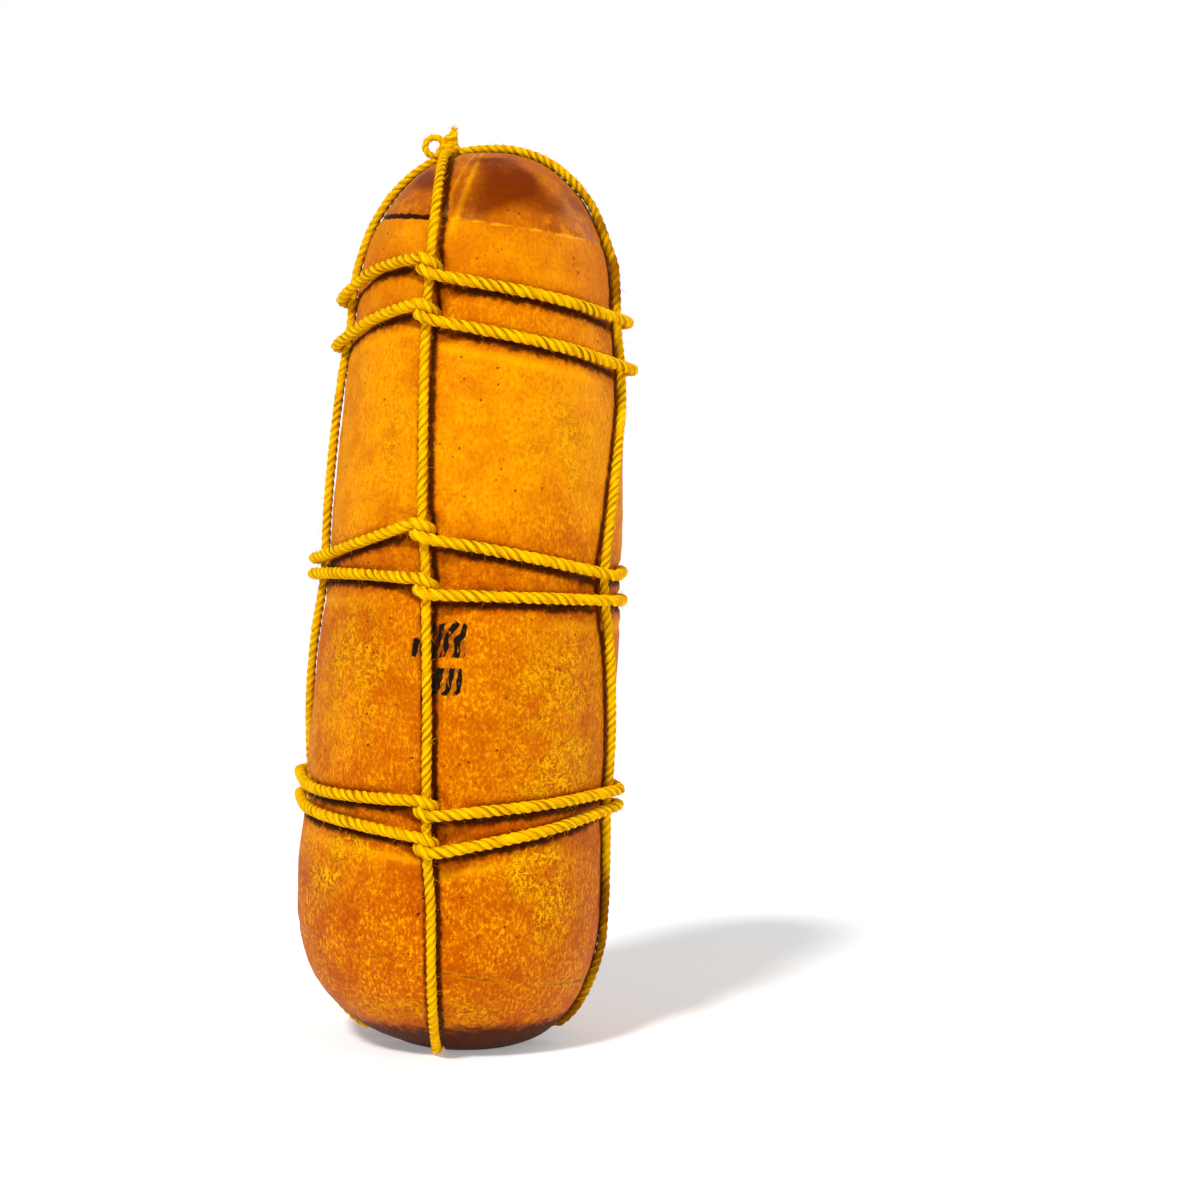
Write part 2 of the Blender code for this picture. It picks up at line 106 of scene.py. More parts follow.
# how much further each cord stands off halfway between two bindings
HOVERS = {"left": 0.0006, "front": 0.0008, "right": -0.0003, "back": 0.0008}
RINGS = (  # name, heights at the left, front, right and back cords, and how far each span bows up
    ("binding_top_upper", (0.3370, 0.3435, 0.3250, 0.3310), (0.004, -0.001, 0.001, -0.001)),
    ("binding_top_lower", (0.3160, 0.3240, 0.3035, 0.3100), (0.002, -0.001, 0.001, 0.001)),
    ("binding_middle_upper", (0.2195, 0.2300, 0.2110, 0.2160), (-0.002, 0.000, 0.001, 0.001)),
    ("binding_middle_lower", (0.2125, 0.2060, 0.2000, 0.2050), (0.001, 0.000, -0.001, 0.000)),
    ("binding_bottom_upper", (0.1215, 0.1123, 0.1155, 0.1190), (-0.002, 0.000, 0.001, 0.001)),
    ("binding_bottom_lower", (0.1110, 0.0965, 0.1085, 0.1080), (0.001, 0.000, -0.001, 0.001)),
)
DENT_RADIUS = 0.012
DENT_DEPTH = 0.0042
TURN_RADIUS = LENGTH_CORD + BINDING_CORD + GAP
TURN_WIDTH = 0.0031
TURN_LIFT = BINDING_CORD + GAP + TURN_RADIUS - DENT_DEPTH
TURN_PITCH = 2 * BINDING_CORD + 2 * GAP
TURN_LEAD = math.radians(25)
# middle, heading, height and half length of each run beneath the cheese
FRONT_BACK_RUN = (Vector((-0.0087, 0.0016, 0.0)), Vector((0.085, 0.996, 0.0)), 0.0026, 0.036)
LEFT_RIGHT_RUN = (Vector((-0.0002, 0.0016, 0.0)), Vector((1.0, 0.02, 0.0)), 0.0078, 0.0415)
KNOT_PLAN = (-0.0185, 0.0)
KNOT_REACH = 0.0096
STUB_LENGTH = 0.0098
TAIL_PLAN = (  # the loose tail's guide points, seen from above
    (-0.0105, 0.0052),
    (-0.0020, 0.0046),
    (0.0100, 0.0020),
    (0.0220, -0.0010),
    (0.0340, -0.0035),
    (0.0445, -0.0052),
)

# ---- how finely the finished pieces are made ----

RIND_COLUMNS = 332
RIND_STEP = 0.00160
FOOT_ROWS = 9
CORD_STEP = 0.0012
CORD_AROUND = 24
HAIR_JOINTS = 4
HAIR_CORNERS = (0.0, 2.094, 4.189)  # a third of a turn apart
HAIR_THICKNESS = 0.00007
FRAY_THICKNESS = 0.00016
FRAY_COUNT = 40  # fibres at each frayed end
FLOOR_ROOM = 0.0003  # left between the floor and whatever is nearest it

# ---- places on the rind ----

CAP_LEVEL = 0.368  # where the smooth cap begins
RIB_FOOT = 0.352  # where the two ribs on the cap begin
BED_REACH = 0.012  # how far from a binding its groove is felt
DENT_ARM = 0.066  # the cheese's radius at the dents
SWELL = 0.0006  # height of the broad unevenness
RIPPLE = 0.00028  # height of the finer unevenness
RIB_HEIGHT = 0.0008
BAND_DEPTH = 0.00045

# ---- the studio ----

FLOOR_SIZE = 14.0
LIT_POINT = Vector((0.0, 0.0, 0.2))  # where the soft lights are aimed
SUN_WAY = Vector((0.46, 0.88, -0.92))
CAMERA_SHIFT = 0.1138


# ---- the user's choices ----


def colour_property(name, description, default):
    return FloatVectorProperty(
        name=name, description=description, subtype="COLOR", size=3, min=0.0, max=1.0, default=default
    )


def real_property(name, description, default, low, high, unit="NONE", precision=2):
    return FloatProperty(
        name=name, description=description, default=default, min=low, max=high, unit=unit, precision=precision
    )


class RindSettings(bpy.types.PropertyGroup):
    """The waxed rind's relief and colours."""

    grain_depth: real_property("Grain depth", "Height of the fine wrinkles", 0.00022, 0.0, 0.001, "LENGTH", 5)
    crust_height: real_property("Crust height", "Height of the dry crumbs", 0.00045, 0.0, 0.002, "LENGTH", 5)
    seam_depth: real_property("Seam depth", "Depth of the two seams", 0.0007, 0.0, 0.003, "LENGTH", 5)
    amber: colour_property("Amber", "Main colour of the rind", (0.63, 0.162, 0.0))
    honey: colour_property("Honey", "Lighter colour that clouds the rind", (0.80, 0.265, 0.0))
    # straw also paints the highlight along the top seam on the right
    straw: colour_property("Straw", "Dry yellow flecks and crust", (1.0, 0.450, 0.0))
    # rust also paints the outer edge of the painted shade by the cords
    rust: colour_property("Rust", "Darker stains between the flecks", (0.42, 0.062, 0.0))
    crown: colour_property("Crown", "Brown of the smooth cap above the top seam", (0.33, 0.062, 0.004))
    scorch: colour_property("Scorch", "Dark glossy patch on the cap", (0.130, 0.010, 0.0))
    # the colour of the painted shade below and beside the cords, at the foot and in the top seam on the left
    painted_shade: colour_property("Painted shade", "Painted shade by the cords, at the foot and in the top seam", (0.026, 0.003, 0.0))
    ink: colour_property("Ink", "Brush strokes below the middle bindings", (0.006, 0.004, 0.004))


class CordSettings(bpy.types.PropertyGroup):
    """The jute cord's lay, hairs and colours."""

    strands: IntProperty(name="Strands", description="Strands laid together", default=3, min=2, max=5)
    lay: real_property("Lay", "Length of one full twist", 0.0135, 0.004, 0.05, "LENGTH")
    hair_length: real_property("Hair length", "Longest loose fibre", 0.0040, 0.0, 0.012, "LENGTH")
    hair_spacing: real_property("Hair spacing", "Cord length for each fibre", 0.0008, 0.0003, 0.02, "LENGTH")
    gold: colour_property("Gold", "Bright fibres of the strands", (1.0, 0.57, 0.0))
    ochre: colour_property("Ochre", "Duller fibres of the strands", (0.80, 0.345, 0.0))
    # painted shade in the strands' valleys and on the cords on the right; also some darker fibres
    shade: colour_property("Shade", "Painted shade between the strands and on the right cords, and darker fibres", (0.20, 0.050, 0.0))


class StudioSettings(bpy.types.PropertyGroup):
    """The camera, the lights and the floor."""

    camera_distance: real_property("Camera distance", "From the middle line", 1.0, 0.5, 5.0, "LENGTH")
    camera_height: real_property("Camera height", "Level camera over the floor", 0.2004, 0.0, 2.0, "LENGTH")
    lens: real_property("Lens", "Focal length", 65.8, 20.0, 200.0, "CAMERA")
    key_strength: real_property("Key strength", "Strength of the main light", 2.85, 0.0, 20.0)
    key_softness: FloatProperty(
        name="Key softness",
        description="Apparent width of the main light",
        default=math.radians(9),
        min=0.0,
        max=math.pi / 2,
        subtype="ANGLE",
    )
    fill_power: real_property("Fill power", "Light in front on the right", 9.0, 0.0, 500.0, "POWER")
    rim_power: real_property("Rim power", "Light behind on the right", 3.0, 0.0, 500.0, "POWER")
    sky_strength: real_property("Surround", "Even light all round", 0.30, 0.0, 3.0)
    floor: colour_property("Floor", "Colour of the floor", (0.90, 0.90, 0.90))
    floor_glow: real_property("Floor glow", "Light that the floor gives off itself", 0.26, 0.0, 2.0)


# ---- the cheese's shape as a function ----


def between(start, end, share):
    return start + (end - start) * share


def through(pairs, place):
    """The value at a place, on a smooth curve through (place, value) pairs in rising order."""
    if place <= pairs[0][0]:
        return pairs[0][1]
    if place >= pairs[-1][0]:
        return pairs[-1][1]
    last = len(pairs) - 1
    right = next(k for k in range(1, last + 1) if place <= pairs[k][0])
    left = right - 1

    def slope(k):
        if k in (0, last):
            return 0.0
        return (pairs[k + 1][1] - pairs[k - 1][1]) / (pairs[k + 1][0] - pairs[k - 1][0])

    span = pairs[right][0] - pairs[left][0]
    t = (place - pairs[left][0]) / span
    return (
        pairs[left][1] * (2 * t**3 - 3 * t**2 + 1)
        + pairs[right][1] * (3 * t**2 - 2 * t**3)
        + span * (slope(left) * (t**3 - 2 * t**2 + t) + slope(right) * (t**3 - t**2))
    )


def bell(away, width):
    """1 where away is 0, falling on a bell curve of a width."""
    return math.exp(-((away / width) ** 2))


def end_rounding(share, power):
    share = min(max(share, 0.0), 1.0)
    return (1 - share**power) ** (1 / power)


def profile(height):
    """The cheese's mean radius at a height."""
    taper = max(0.0, (height - BELLY_HEIGHT) / (SHOULDER_HEIGHT - BELLY_HEIGHT)) ** TAPER_POWER
    radius = BELLY_RADIUS - (BELLY_RADIUS - SHOULDER_RADIUS) * taper
    for waist in WAIST_HEIGHTS:
        radius -= WAIST_DEPTH * bell(height - waist, WAIST_WIDTH)
    lower = end_rounding((BELLY_HEIGHT - height) / (BELLY_HEIGHT + FLATTENED), LOWER_SQUARENESS)
    upper = end_rounding((height - SHOULDER_HEIGHT) / (CHEESE_HEIGHT - SHOULDER_HEIGHT), UPPER_SQUARENESS)
    return radius * lower * upper


def lobes(azimuth):
    return 1 + sum(share * math.cos(count * azimuth + phase) for count, phase, share in LOBES)


def girth(azimuth, height):
    return profile(height) * lobes(azimuth)


def middle(height):
    return Vector((through(SPINE, height), SPINE_DEPTH, height))


def is_inside(point):
    if not 0.0 < point.z < CHEESE_HEIGHT:
        return False
    offset = point - middle(point.z)
    return math.hypot(offset.x, offset.y) < girth(math.atan2(offset.x, -offset.y), point.z)


def rind_point(core, way, gap):
    """The point a gap outside the rind, on the line from a core point inside the cheese."""
    near, far = 0.02, 0.12
    for _ in range(28):
        half = (near + far) / 2
        if is_inside(core + way * half):
            near = half
        else:
            far = half
    return core + way * (near + gap)


def round_way(azimuth):
    return Vector((math.sin(azimuth), -math.cos(azimuth), 0.0))


def on_barrel(azimuth, height, gap):
    return middle(height) + round_way(azimuth) * (girth(azimuth, height) + gap)


def end_core(upper):
    height = TOP_TURN if upper else BELLY_HEIGHT
    return height, profile(height)


def on_end(x, y, gap, upper):
    """The point a gap outside one rounded end, by its place seen from above, from that end's core."""
    height, arm = end_core(upper)
    rise = math.sqrt(max(arm**2 - x**2 - y**2, 0.0))
    way = Vector((x, y, rise if upper else -rise)).normalized()
    return rind_point(middle(height), way, gap)


# ---- where the cords run ----


def course(side, height):
    return math.radians(through(COURSES[side], height))


def lift(side, height):
    """How far a lengthwise cord's centre stands off the rind at a height up the barrel."""
    laid = RESTING
    index = SIDES.index(side)
    held = TURN_LIFT if side == "front" else laid
    stops = {BELLY_HEIGHT - 0.014: SEATED}
    heights = sorted(ring[1][index] for ring in RINGS)
    for low, high in zip(heights[1::2], heights[2::2]):
        stops[(low + high) / 2] = laid + HOVERS[side]
    for height_there in heights:
        stops[height_there] = held
    stops[TOP_TURN + 0.014] = held
    return through(sorted(stops.items()), height)


def lengthwise_point(side, height):
    return on_barrel(course(side, height), height, lift(side, height))


def end_route(side, target, upper, stops):
    """Points over a rounded end, straight as seen from above, from the barrel to a target place."""
    height, arm = end_core(upper)
    start = round_way(course(side, height)) * arm
    end = Vector((*target, 0.0))
    gap = lift(side, height)
    laid = RESTING if upper else SEATED
    route = []
    for share in stops:
        place = between(start, end, share)
        route.append(on_end(place.x, place.y, gap + (laid - gap) * share, upper))
    return route


def run_ends(run):
    centre, heading, height, half_length = run
    along = heading.normalized() * half_length
    raised = centre + Vector((0.0, 0.0, height))
    return raised - along, raised + along


def half_route(side, run_end):
    """One side of a lengthwise cord, from its run beneath the cheese up to the knot."""
    height, arm = end_core(False)
    entry = (run_end - middle(height)).normalized() * arm
    lower = end_route(side, entry.xy, False, (0.9, 0.7, 0.5, 0.33, 0.19, 0.08))
    levels = 40
    barrel = []
    for k in range(levels + 1):
        height = between(BELLY_HEIGHT, TOP_TURN, k / levels)
        barrel.append(lengthwise_point(side, height))
    knot = Vector((*KNOT_PLAN, 0.0))
    height, arm = end_core(True)
    shoulder = round_way(course(side, height)) * arm
    target = knot + (shoulder - knot).normalized() * KNOT_REACH * 0.55
    upper = end_route(side, target.xy, True, (0.06, 0.15, 0.28, 0.44, 0.62, 0.8, 0.92, 1.0))
    return lower + barrel + upper


def lengthwise_route(first, second, run):
    start, end = run_ends(run)
    beneath = [between(start, end, k / 5) for k in range(6)]
    return half_route(first, start)[::-1] + beneath + half_route(second, end)


def turn_points(height, steps=30):
    """The binding cord's full turn round the front cord, from its left to its right.

    The soft cord is pulled flat against the front cord, and most of its drop is where it crosses it.
    """
    centre = lengthwise_point("front", height)
    up = (lengthwise_point("front", height + 0.004) - centre).normalized()
    out = round_way(course("front", height))
    out = (out - up * out.dot(up)).normalized()
    across = up.cross(out)
    sweep = 2 * math.pi + 2 * TURN_LEAD
    drop = TURN_PITCH * sweep / (2 * math.pi)
    points = []
    for k in range(steps + 1):
        share = k / steps
        angle = sweep * share - TURN_LEAD
        turned = across * math.sin(angle) * TURN_WIDTH + out * math.cos(angle) * TURN_RADIUS
        fallen = share + 0.85 * math.sin(2 * math.pi * share) / (2 * math.pi)
        points.append(centre + turned + up * (drop * (0.5 - fallen)))
    return points


def crossing_gap(side, height):
    if side == "front":
        return lift(side, height) + TURN_RADIUS * math.cos(TURN_LEAD)
    return lift(side, height) + LENGTH_CORD + BINDING_CORD + GAP


def standing_off(distance, peak, radius):
    """How far a taut cord stands off the rind at a distance from where it is lifted to a peak."""
    laid = BINDING_CORD + LAID - SUNK
    tangent = math.sqrt(2 * radius * max(peak - laid, 0.0))
    rounded = math.hypot(distance, LENGTH_CORD) - LENGTH_CORD
    return laid + max(tangent - rounded, 0.0) ** 2 / (2 * radius)


def binding_spans(heights, bows):
    """(side, first and last azimuth, first and last height, bow) of each span, from the left cord."""
    drop = TURN_PITCH * (1 + TURN_LEAD / math.pi)
    edge = math.sin(TURN_LEAD) * TURN_WIDTH / BELLY_RADIUS
    spans = []
    for k, side in enumerate(SIDES):
        following = SIDES[(k + 1) % 4]
        leaving, arriving = heights[k], heights[(k + 1) % 4]
        low, high = course(side, leaving), course(following, arriving)
        if high < low:
            high += 2 * math.pi
        if side == "front":
            ends = leaving + drop / 2, leaving - drop / 2
            spans.append(("hitch", low - edge, low + edge, *ends, 0.0))
            leaving -= drop / 2
            low += edge
        if following == "front":
            arriving += drop / 2
            high -= edge
        spans.append((side, low, high, leaving, arriving, bows[k]))
    return spans


BINDINGS = [(name, heights, binding_spans(heights, bows)) for name, heights, bows in RINGS]


def height_in_span(span, share):
    return between(span[3], span[4], share) + span[5] * 4 * share * (1 - share)


def span_gap(span, share):
    """How far a binding cord's centre stands off the bare rind at a share of a span."""
    side, low, high, leaving, arriving, _ = span
    if side == "hitch":
        return TURN_LIFT
    following = SIDES[(SIDES.index(side) + 1) % 4]
    radius = girth(low, leaving)
    length = (high - low) * radius
    peaks = crossing_gap(side, leaving), crossing_gap(following, arriving)
    return max(
        standing_off(share * length, peaks[0], radius),
        standing_off((1 - share) * length, peaks[1], radius),
    )


def binding_at(spans, azimuth):
    """(height, gap) of a binding cord at an azimuth."""
    turned = spans[0][1] + (azimuth - spans[0][1]) % (2 * math.pi)
    span = next((span for span in spans if turned <= span[2]), spans[-1])
    share = (turned - span[1]) / (span[2] - span[1])
    return height_in_span(span, share), span_gap(span, share)


def binding_route(heights, spans):
    """A binding cord's closed line: over each lengthwise cord, with the turn at the front one."""
    route = []
    for span in spans:
        side, low, high, leaving, _, _ = span
        if side == "hitch":
            route += turn_points(heights[SIDES.index("front")])
            continue
        steps = max(4, round((high - low) * girth(low, leaving) / 0.005))
        for step in range(1 if side == "front" else 0, steps):
            share = step / steps
            gap = span_gap(span, share)
            route.append(on_barrel(between(low, high, share), height_in_span(span, share), gap))
    return route


# ---- shared helpers ----


def linked(name, data):
    """A new object in the scene that holds a mesh, a light or a camera."""
    obj = bpy.data.objects.new(name, data)
    bpy.context.scene.collection.objects.link(obj)
    return obj


def add_object(name, mesh, material, node):
    """Links a finished piece, in place of a node of the frame."""
    obj = linked(name, mesh)
    mesh.materials.append(material)
    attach(obj, "root")
    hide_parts(node)
    return obj


def store(mesh, name, values):
    """Keeps one number for each vertex, for the material to read."""
    layer = mesh.attributes.new(name, "FLOAT", "POINT")
    layer.data.foreach_set("value", np.asarray(values, np.float32))


def smooth_step(low, high, value):
    share = min(max((value - low) / (high - low), 0.0), 1.0)
    return share * share * (3 - 2 * share)


def window(value, rise, fall):
    """1 from the end of a rise to the end of a fall, and 0 outside them; each is (start, end)."""
    return smooth_step(*rise, value) * smooth_step(*fall, value)


# ---- the rind's relief ----


def top_seam(azimuth):
    return 0.3668 - 0.0070 * math.sin(azimuth) - 0.0033 * math.cos(azimuth)


def bottom_seam(azimuth):
    return 0.0425 - 0.0125 * math.sin(azimuth + 0.14)


PATCHES = {  # (azimuth in degrees, height, half angle in degrees, half height, strength) of each blob
    "crust": (
        (-46, 0.097, 19, 0.013, 1.0),
        (-52, 0.079, 11, 0.009, 1.0),
        (31, 0.085, 17, 0.012, 1.0),
        (40, 0.066, 14, 0.014, 0.9),
        (40, 0.128, 23, 0.016, 0.9),
        (-46, 0.172, 20, 0.030, 0.65),
        (38, 0.160, 22, 0.028, 0.65),
        (34, 0.268, 20, 0.024, 0.5),
        (-38, 0.268, 13, 0.022, 0.5),
        (-5, 0.022, 40, 0.008, 0.5),
        (140, 0.150, 30, 0.030, 0.8),
        (-140, 0.240, 26, 0.030, 0.7),
        (178, 0.070, 26, 0.020, 1.0),
        (110, 0.285, 18, 0.026, 0.7),
        (-115, 0.085, 20, 0.018, 0.9),
    ),
    "scorch": (
        (17, 0.3800, 33, 0.0130, 1.0),
        (40, 0.3760, 22, 0.0110, 0.65),
        (6, 0.3935, 26, 0.005, 0.65),
        (-38, 0.3880, 18, 0.008, 0.7),
        (-160, 0.384, 36, 0.010, 1.0),
    ),
    "glow": (
        (-10, 0.262, 60, 0.030, 1.0),
        (-60, 0.275, 26, 0.050, 1.0),
        (52, 0.270, 26, 0.045, 1.0),
        (-60, 0.150, 20, 0.060, 0.7),
        (65, 0.150, 20, 0.050, 0.7),
        (150, 0.25, 50, 0.06, 1.0),
    ),
}


def patch(name, azimuth, height):
    """How strongly a kind of patch covers a spot, from 0 to 1."""
    strongest = 0.0
    for centre, level, half_angle, half_height, strength in PATCHES[name]:
        turn = (math.degrees(azimuth) - centre + 180) % 360 - 180
        distance = (turn / half_angle) ** 2 + ((height - level) / half_height) ** 2
        strongest = max(strongest, strength * math.exp(-(distance**1.5)))
    return strongest


def pressed_depths(azimuth, height, beds, dents):
    """(depth, closeness) of the grooves that the cords have pressed, at a spot on the barrel."""
    depth = 0.0
    near = 0.0
    for level, gap in beds:
        away = abs(height - level)
        if away < BED_REACH:
            held = smooth_step(BINDING_CORD * 2.2, BINDING_CORD * 0.5, gap)
            depth = max(depth, GROOVE_DEPTH * held * math.exp(-((away / (GROOVE_HALF * 0.88)) ** 2.6)))
            near = max(near, bell(away, 0.0055) * (0.4 + 0.6 * held))
    for turn, level in dents:
        across = (azimuth - turn + math.pi) % (2 * math.pi) - math.pi
        away = math.hypot(across * DENT_ARM, height - level)
        if away < DENT_RADIUS:
            sphere = math.sqrt(DENT_RADIUS**2 - away**2) - (DENT_RADIUS - DENT_DEPTH)
            depth = max(depth, sphere)
            near = max(near, smooth_step(DENT_RADIUS, 0.005, away))
    return depth, near


SHADED_SIDES = (  # side, how far right of the cord, reach, strength
    ("left", 0.0014, 0.0050, 0.8),
    ("front", 0.0030, 0.0040, 1.0),
    ("front", -0.0029, 0.0030, 0.85),
    ("right", -0.0034, 0.0050, 1.0),
    ("right", 0.0030, 0.0040, 0.9),
    ("back", 0.0032, 0.0046, 0.9),
    ("back", -0.0028, 0.0032, 0.8),
)


def tent(away, reach):
    """1 where away is 0, falling evenly to 0 at the reach."""
    return max(0.0, 1.0 - abs(away) / reach)


def lengthwise_lines():
    """A search tree of the points along each side's half of its lengthwise cord."""
    ends = {}
    ends["front"], ends["back"] = run_ends(FRONT_BACK_RUN)
    ends["left"], ends["right"] = run_ends(LEFT_RIGHT_RUN)
    trees = {}
    for side, end in ends.items():
        line = smoothed(half_route(side, end), False)
        tree = kdtree.KDTree(len(line))
        for index, point in enumerate(line):
            tree.insert(point, index)
        tree.balance()
        trees[side] = tree
    return trees


def painted_shade(point, normal, azimuth, height, beds, lines):
    """How strongly painted shade darkens a spot: below the bindings, beside the cords, at the foot, between
    paired bindings and on the lower right flank.
    """
    # painted shade at the foot, strongest at the floor
    most = smooth_step(0.026, 0.007, height)
    # painted shadow in a band just below each binding
    for level, gap in beds:
        held = 0.80 + 0.20 * smooth_step(BINDING_CORD * 3.5, BINDING_CORD, gap)
        most = max(most, held * tent(height - level + 0.0036, 0.0062))
    # painted shade on the lower right flank
    turn = math.degrees(azimuth)
    flank = window(turn, (56, 80), (104, 88))
    most = max(most, 0.46 * flank * smooth_step(0.125, 0.085, height))
    # painted shade between the two cords of the middle and bottom pairs
    for upper, lower in ((2, 3), (4, 5)):
        inside = min(beds[upper][0] - height, height - beds[lower][0])
        most = max(most, 0.45 * smooth_step(0.0, 0.004, inside))
    nearest = {side: tree.find(point) for side, tree in lines.items()}
    centre = middle(height)
    # painted shade beside each lengthwise cord, wider on the cap and low on the right
    for side, offset, reach, strength in SHADED_SIDES:
        found, _, distance = nearest[side]
        if distance > 0.018:
            continue
        away = point - found
        aside = (away - normal * away.dot(normal)).length
        if math.sin(azimuth - math.atan2(found.x - centre.x, centre.y - found.y)) < 0:
            aside = -aside
        if height > CAP_LEVEL:
            strength = 1.0
            reach *= 1.3 if offset < 0 else 1.0
        if side == "right" and offset < 0:
            reach *= 1 + 1.1 * smooth_step(0.105, 0.070, height)
        most = max(most, strength * tent(aside - offset, reach))
    return most


def old_bands(azimuth, height):
    """Depth and paleness of the shallow bands that earlier bindings have left."""
    total = 0.0
    for index, fall, reach in ((1, 0.0105, 0.0022), (3, 0.0120, 0.0018), (5, 0.0110, 0.0016)):
        level, _ = binding_at(BINDINGS[index][2], azimuth)
        fade = 0.5 + 0.5 * math.sin(azimuth * 2 + index * 1.7)
        total = max(total, fade * bell(height - level + fall, reach))
    return total


def ribs(azimuth, height):
    """Two raised ribs beside the front cord on the cap, where an earlier cord lay."""
    if height < RIB_FOOT:
        return 0.0
    turn = math.degrees(azimuth)
    fade = window(height, (RIB_FOOT, 0.364), (0.4025, 0.399))
    lean = (height - 0.364) * 240
    return fade * max(bell(turn + 16 - lean, 2.2), 0.7 * bell(turn + 24 - lean, 1.8))


def ink_box(azimuth, height):
    """Where the two short rows of brush strokes are."""
    turn = math.degrees(azimuth)
    ceiling = 0.1850 if turn < -14 else 0.1918
    upper = window(turn, (-21.4, -19.6), (-0.6, -2.6))
    upper *= window(height, (0.1748, 0.1775), (ceiling, ceiling - 0.003))
    lower = window(turn, (-15, -12.5), (-0.6, -2.6))
    lower *= window(height, (0.1592, 0.1612), (0.1722, 0.1700))
    return max(upper, 0.9 * lower)


def rind_rows():
    """The height of each row, evenly spaced along the outline, from the foot's rim to the tip."""
    fine = 4000
    heights = [CHEESE_HEIGHT * (1 - math.cos(math.pi * k / fine)) / 2 for k in range(fine + 1)]
    radii = [profile(height) for height in heights]
    lengths = [0.0]
    for k in range(fine):
        lengths.append(lengths[-1] + math.hypot(heights[k + 1] - heights[k], radii[k + 1] - radii[k]))
    count = int(lengths[-1] / RIND_STEP)
    wanted = np.linspace(0.0, lengths[-1], count + 1)
    return list(np.interp(wanted, lengths, heights))[:-1]


def rind_mesh(settings):
    """The rind: a sphere whose rows follow the cheese's profile, then raised and pressed."""
    heights = rind_rows()
    rows = [(0.0, (k + 1) / (FOOT_ROWS + 1)) for k in range(FOOT_ROWS)]
    rows += [(height, 1.0) for height in heights]
    shape = bmesh.new()
    bmesh.ops.create_uvsphere(shape, u_segments=RIND_COLUMNS, v_segments=len(rows) + 1, radius=1.0)
    places = []
    for vertex in shape.verts:
        latitude = math.asin(max(-1.0, min(1.0, vertex.co.z)))
        row = round((latitude / math.pi + 0.5) * (len(rows) + 1))
        azimuth = math.atan2(vertex.co.x, -vertex.co.y)
        if row == 0:
            height, share = 0.0, 0.0
        elif row == len(rows) + 1:
            height, share = CHEESE_HEIGHT, 0.0
        else:
            height, share = rows[row - 1]
        places.append((azimuth, height, share))
        vertex.co = middle(height) + round_way(azimuth) * girth(azimuth, height) * share
    shape.normal_update()
    mesh = bpy.data.meshes.new("provolone_rind")
    shape.to_mesh(mesh)
    shape.free()
    press_and_raise(mesh, places, settings)
    mesh.shade_smooth()
    return mesh


def press_and_raise(mesh, places, settings):
    """Moves every vertex by the cords' grooves, the seams, the grain and the crust."""
    beds = {}
    dents = [(course("front", heights[1]), heights[1]) for _, heights, _ in BINDINGS]
    stored = {}
    lines = lengthwise_lines()
    points = [vertex.co.copy() for vertex in mesh.vertices]
    normals = [vertex.normal.copy() for vertex in mesh.vertices]
    for index, (azimuth, height, share) in enumerate(places):
        if share < 1.0:
            continue
        key = round(azimuth, 5)
        if key not in beds:
            beds[key] = [binding_at(spans, azimuth) for _, _, spans in BINDINGS]
        depth, near = pressed_depths(azimuth, height, beds[key], dents)
        point = points[index]
        rough = noise.noise(point * 30)
        crust = patch("crust", azimuth, height)
        crust *= smooth_step(-0.50, 0.15, noise.noise(point * 90) + 0.5 * noise.noise(point * 210))
        crown = smooth_step(-0.0010, 0.0012, height - top_seam(azimuth))
        grain = 1 - 0.75 * crown
        raised = SWELL * rough + RIPPLE * noise.noise(point * 75)
        wrinkle = Vector((point.x * 300, point.y * 300, point.z * 170))
        raised += settings.grain_depth * grain * noise.noise(wrinkle)
        crumbs = max(0.0, noise.noise(point * 420 + Vector((3, 1, 7))) + 0.15)
        raised += settings.crust_height * crust * crumbs
        # the side of the top seam that gets painted shade; the other side gets a painted highlight
        shade_side = smooth_step(0.12, -0.12, math.sin(azimuth + 0.42))
        seam = tent(height - top_seam(azimuth) + SWELL * rough, 0.0032 - 0.0006 * shade_side)
        low_seam = tent(height - bottom_seam(azimuth), 0.0036) * (0.8 + 0.5 * noise.noise(point * 45))
        band = old_bands(azimuth, height)
        rib = ribs(azimuth, height)
        raised -= settings.seam_depth * (seam**2 + 0.8 * low_seam**2)
        raised += RIB_HEIGHT * rib - BAND_DEPTH * band
        foot = smooth_step(0.0, 0.004, height)
        moved = point + normals[index] * (raised * foot * (1 - 0.8 * near) - depth)
        moved.z = max(moved.z, 0.0)
        points[index] = moved
        sway = Vector((noise.noise(point * 45), noise.noise(point * 62 + Vector((5, 0, 2))), 0.0))
        blurred = height + 0.02 * noise.noise(point * 30)
        kept = {
            "crust": crust,
            "crown": crown,
            "scorch": patch("scorch", azimuth + 0.36 * sway.x, height + 0.007 * sway.y),
            "glow": patch("glow", azimuth, height),
            # painted shade in the top seam on the left, painted highlight along it on the right
            "seam": seam * shade_side,
            "rim": seam * (1 - shade_side),
            "crease": low_seam,
            "painted_shade": painted_shade(point, normals[index], azimuth, height, beds[key], lines),
            "coarse": smooth_step(0.262, 0.190, blurred) + 0.8 * smooth_step(0.105, 0.070, blurred),
            "pale": max(band, rib),
            "calm": smooth_step(0.322, 0.338, height),
            "ink": ink_box(azimuth, height),
        }
        for name, value in kept.items():
            stored.setdefault(name, np.zeros(len(places), np.float32))[index] = value
    mesh.vertices.foreach_set("co", np.array(points, np.float32).ravel())
    for name, values in stored.items():
        store(mesh, name, values)


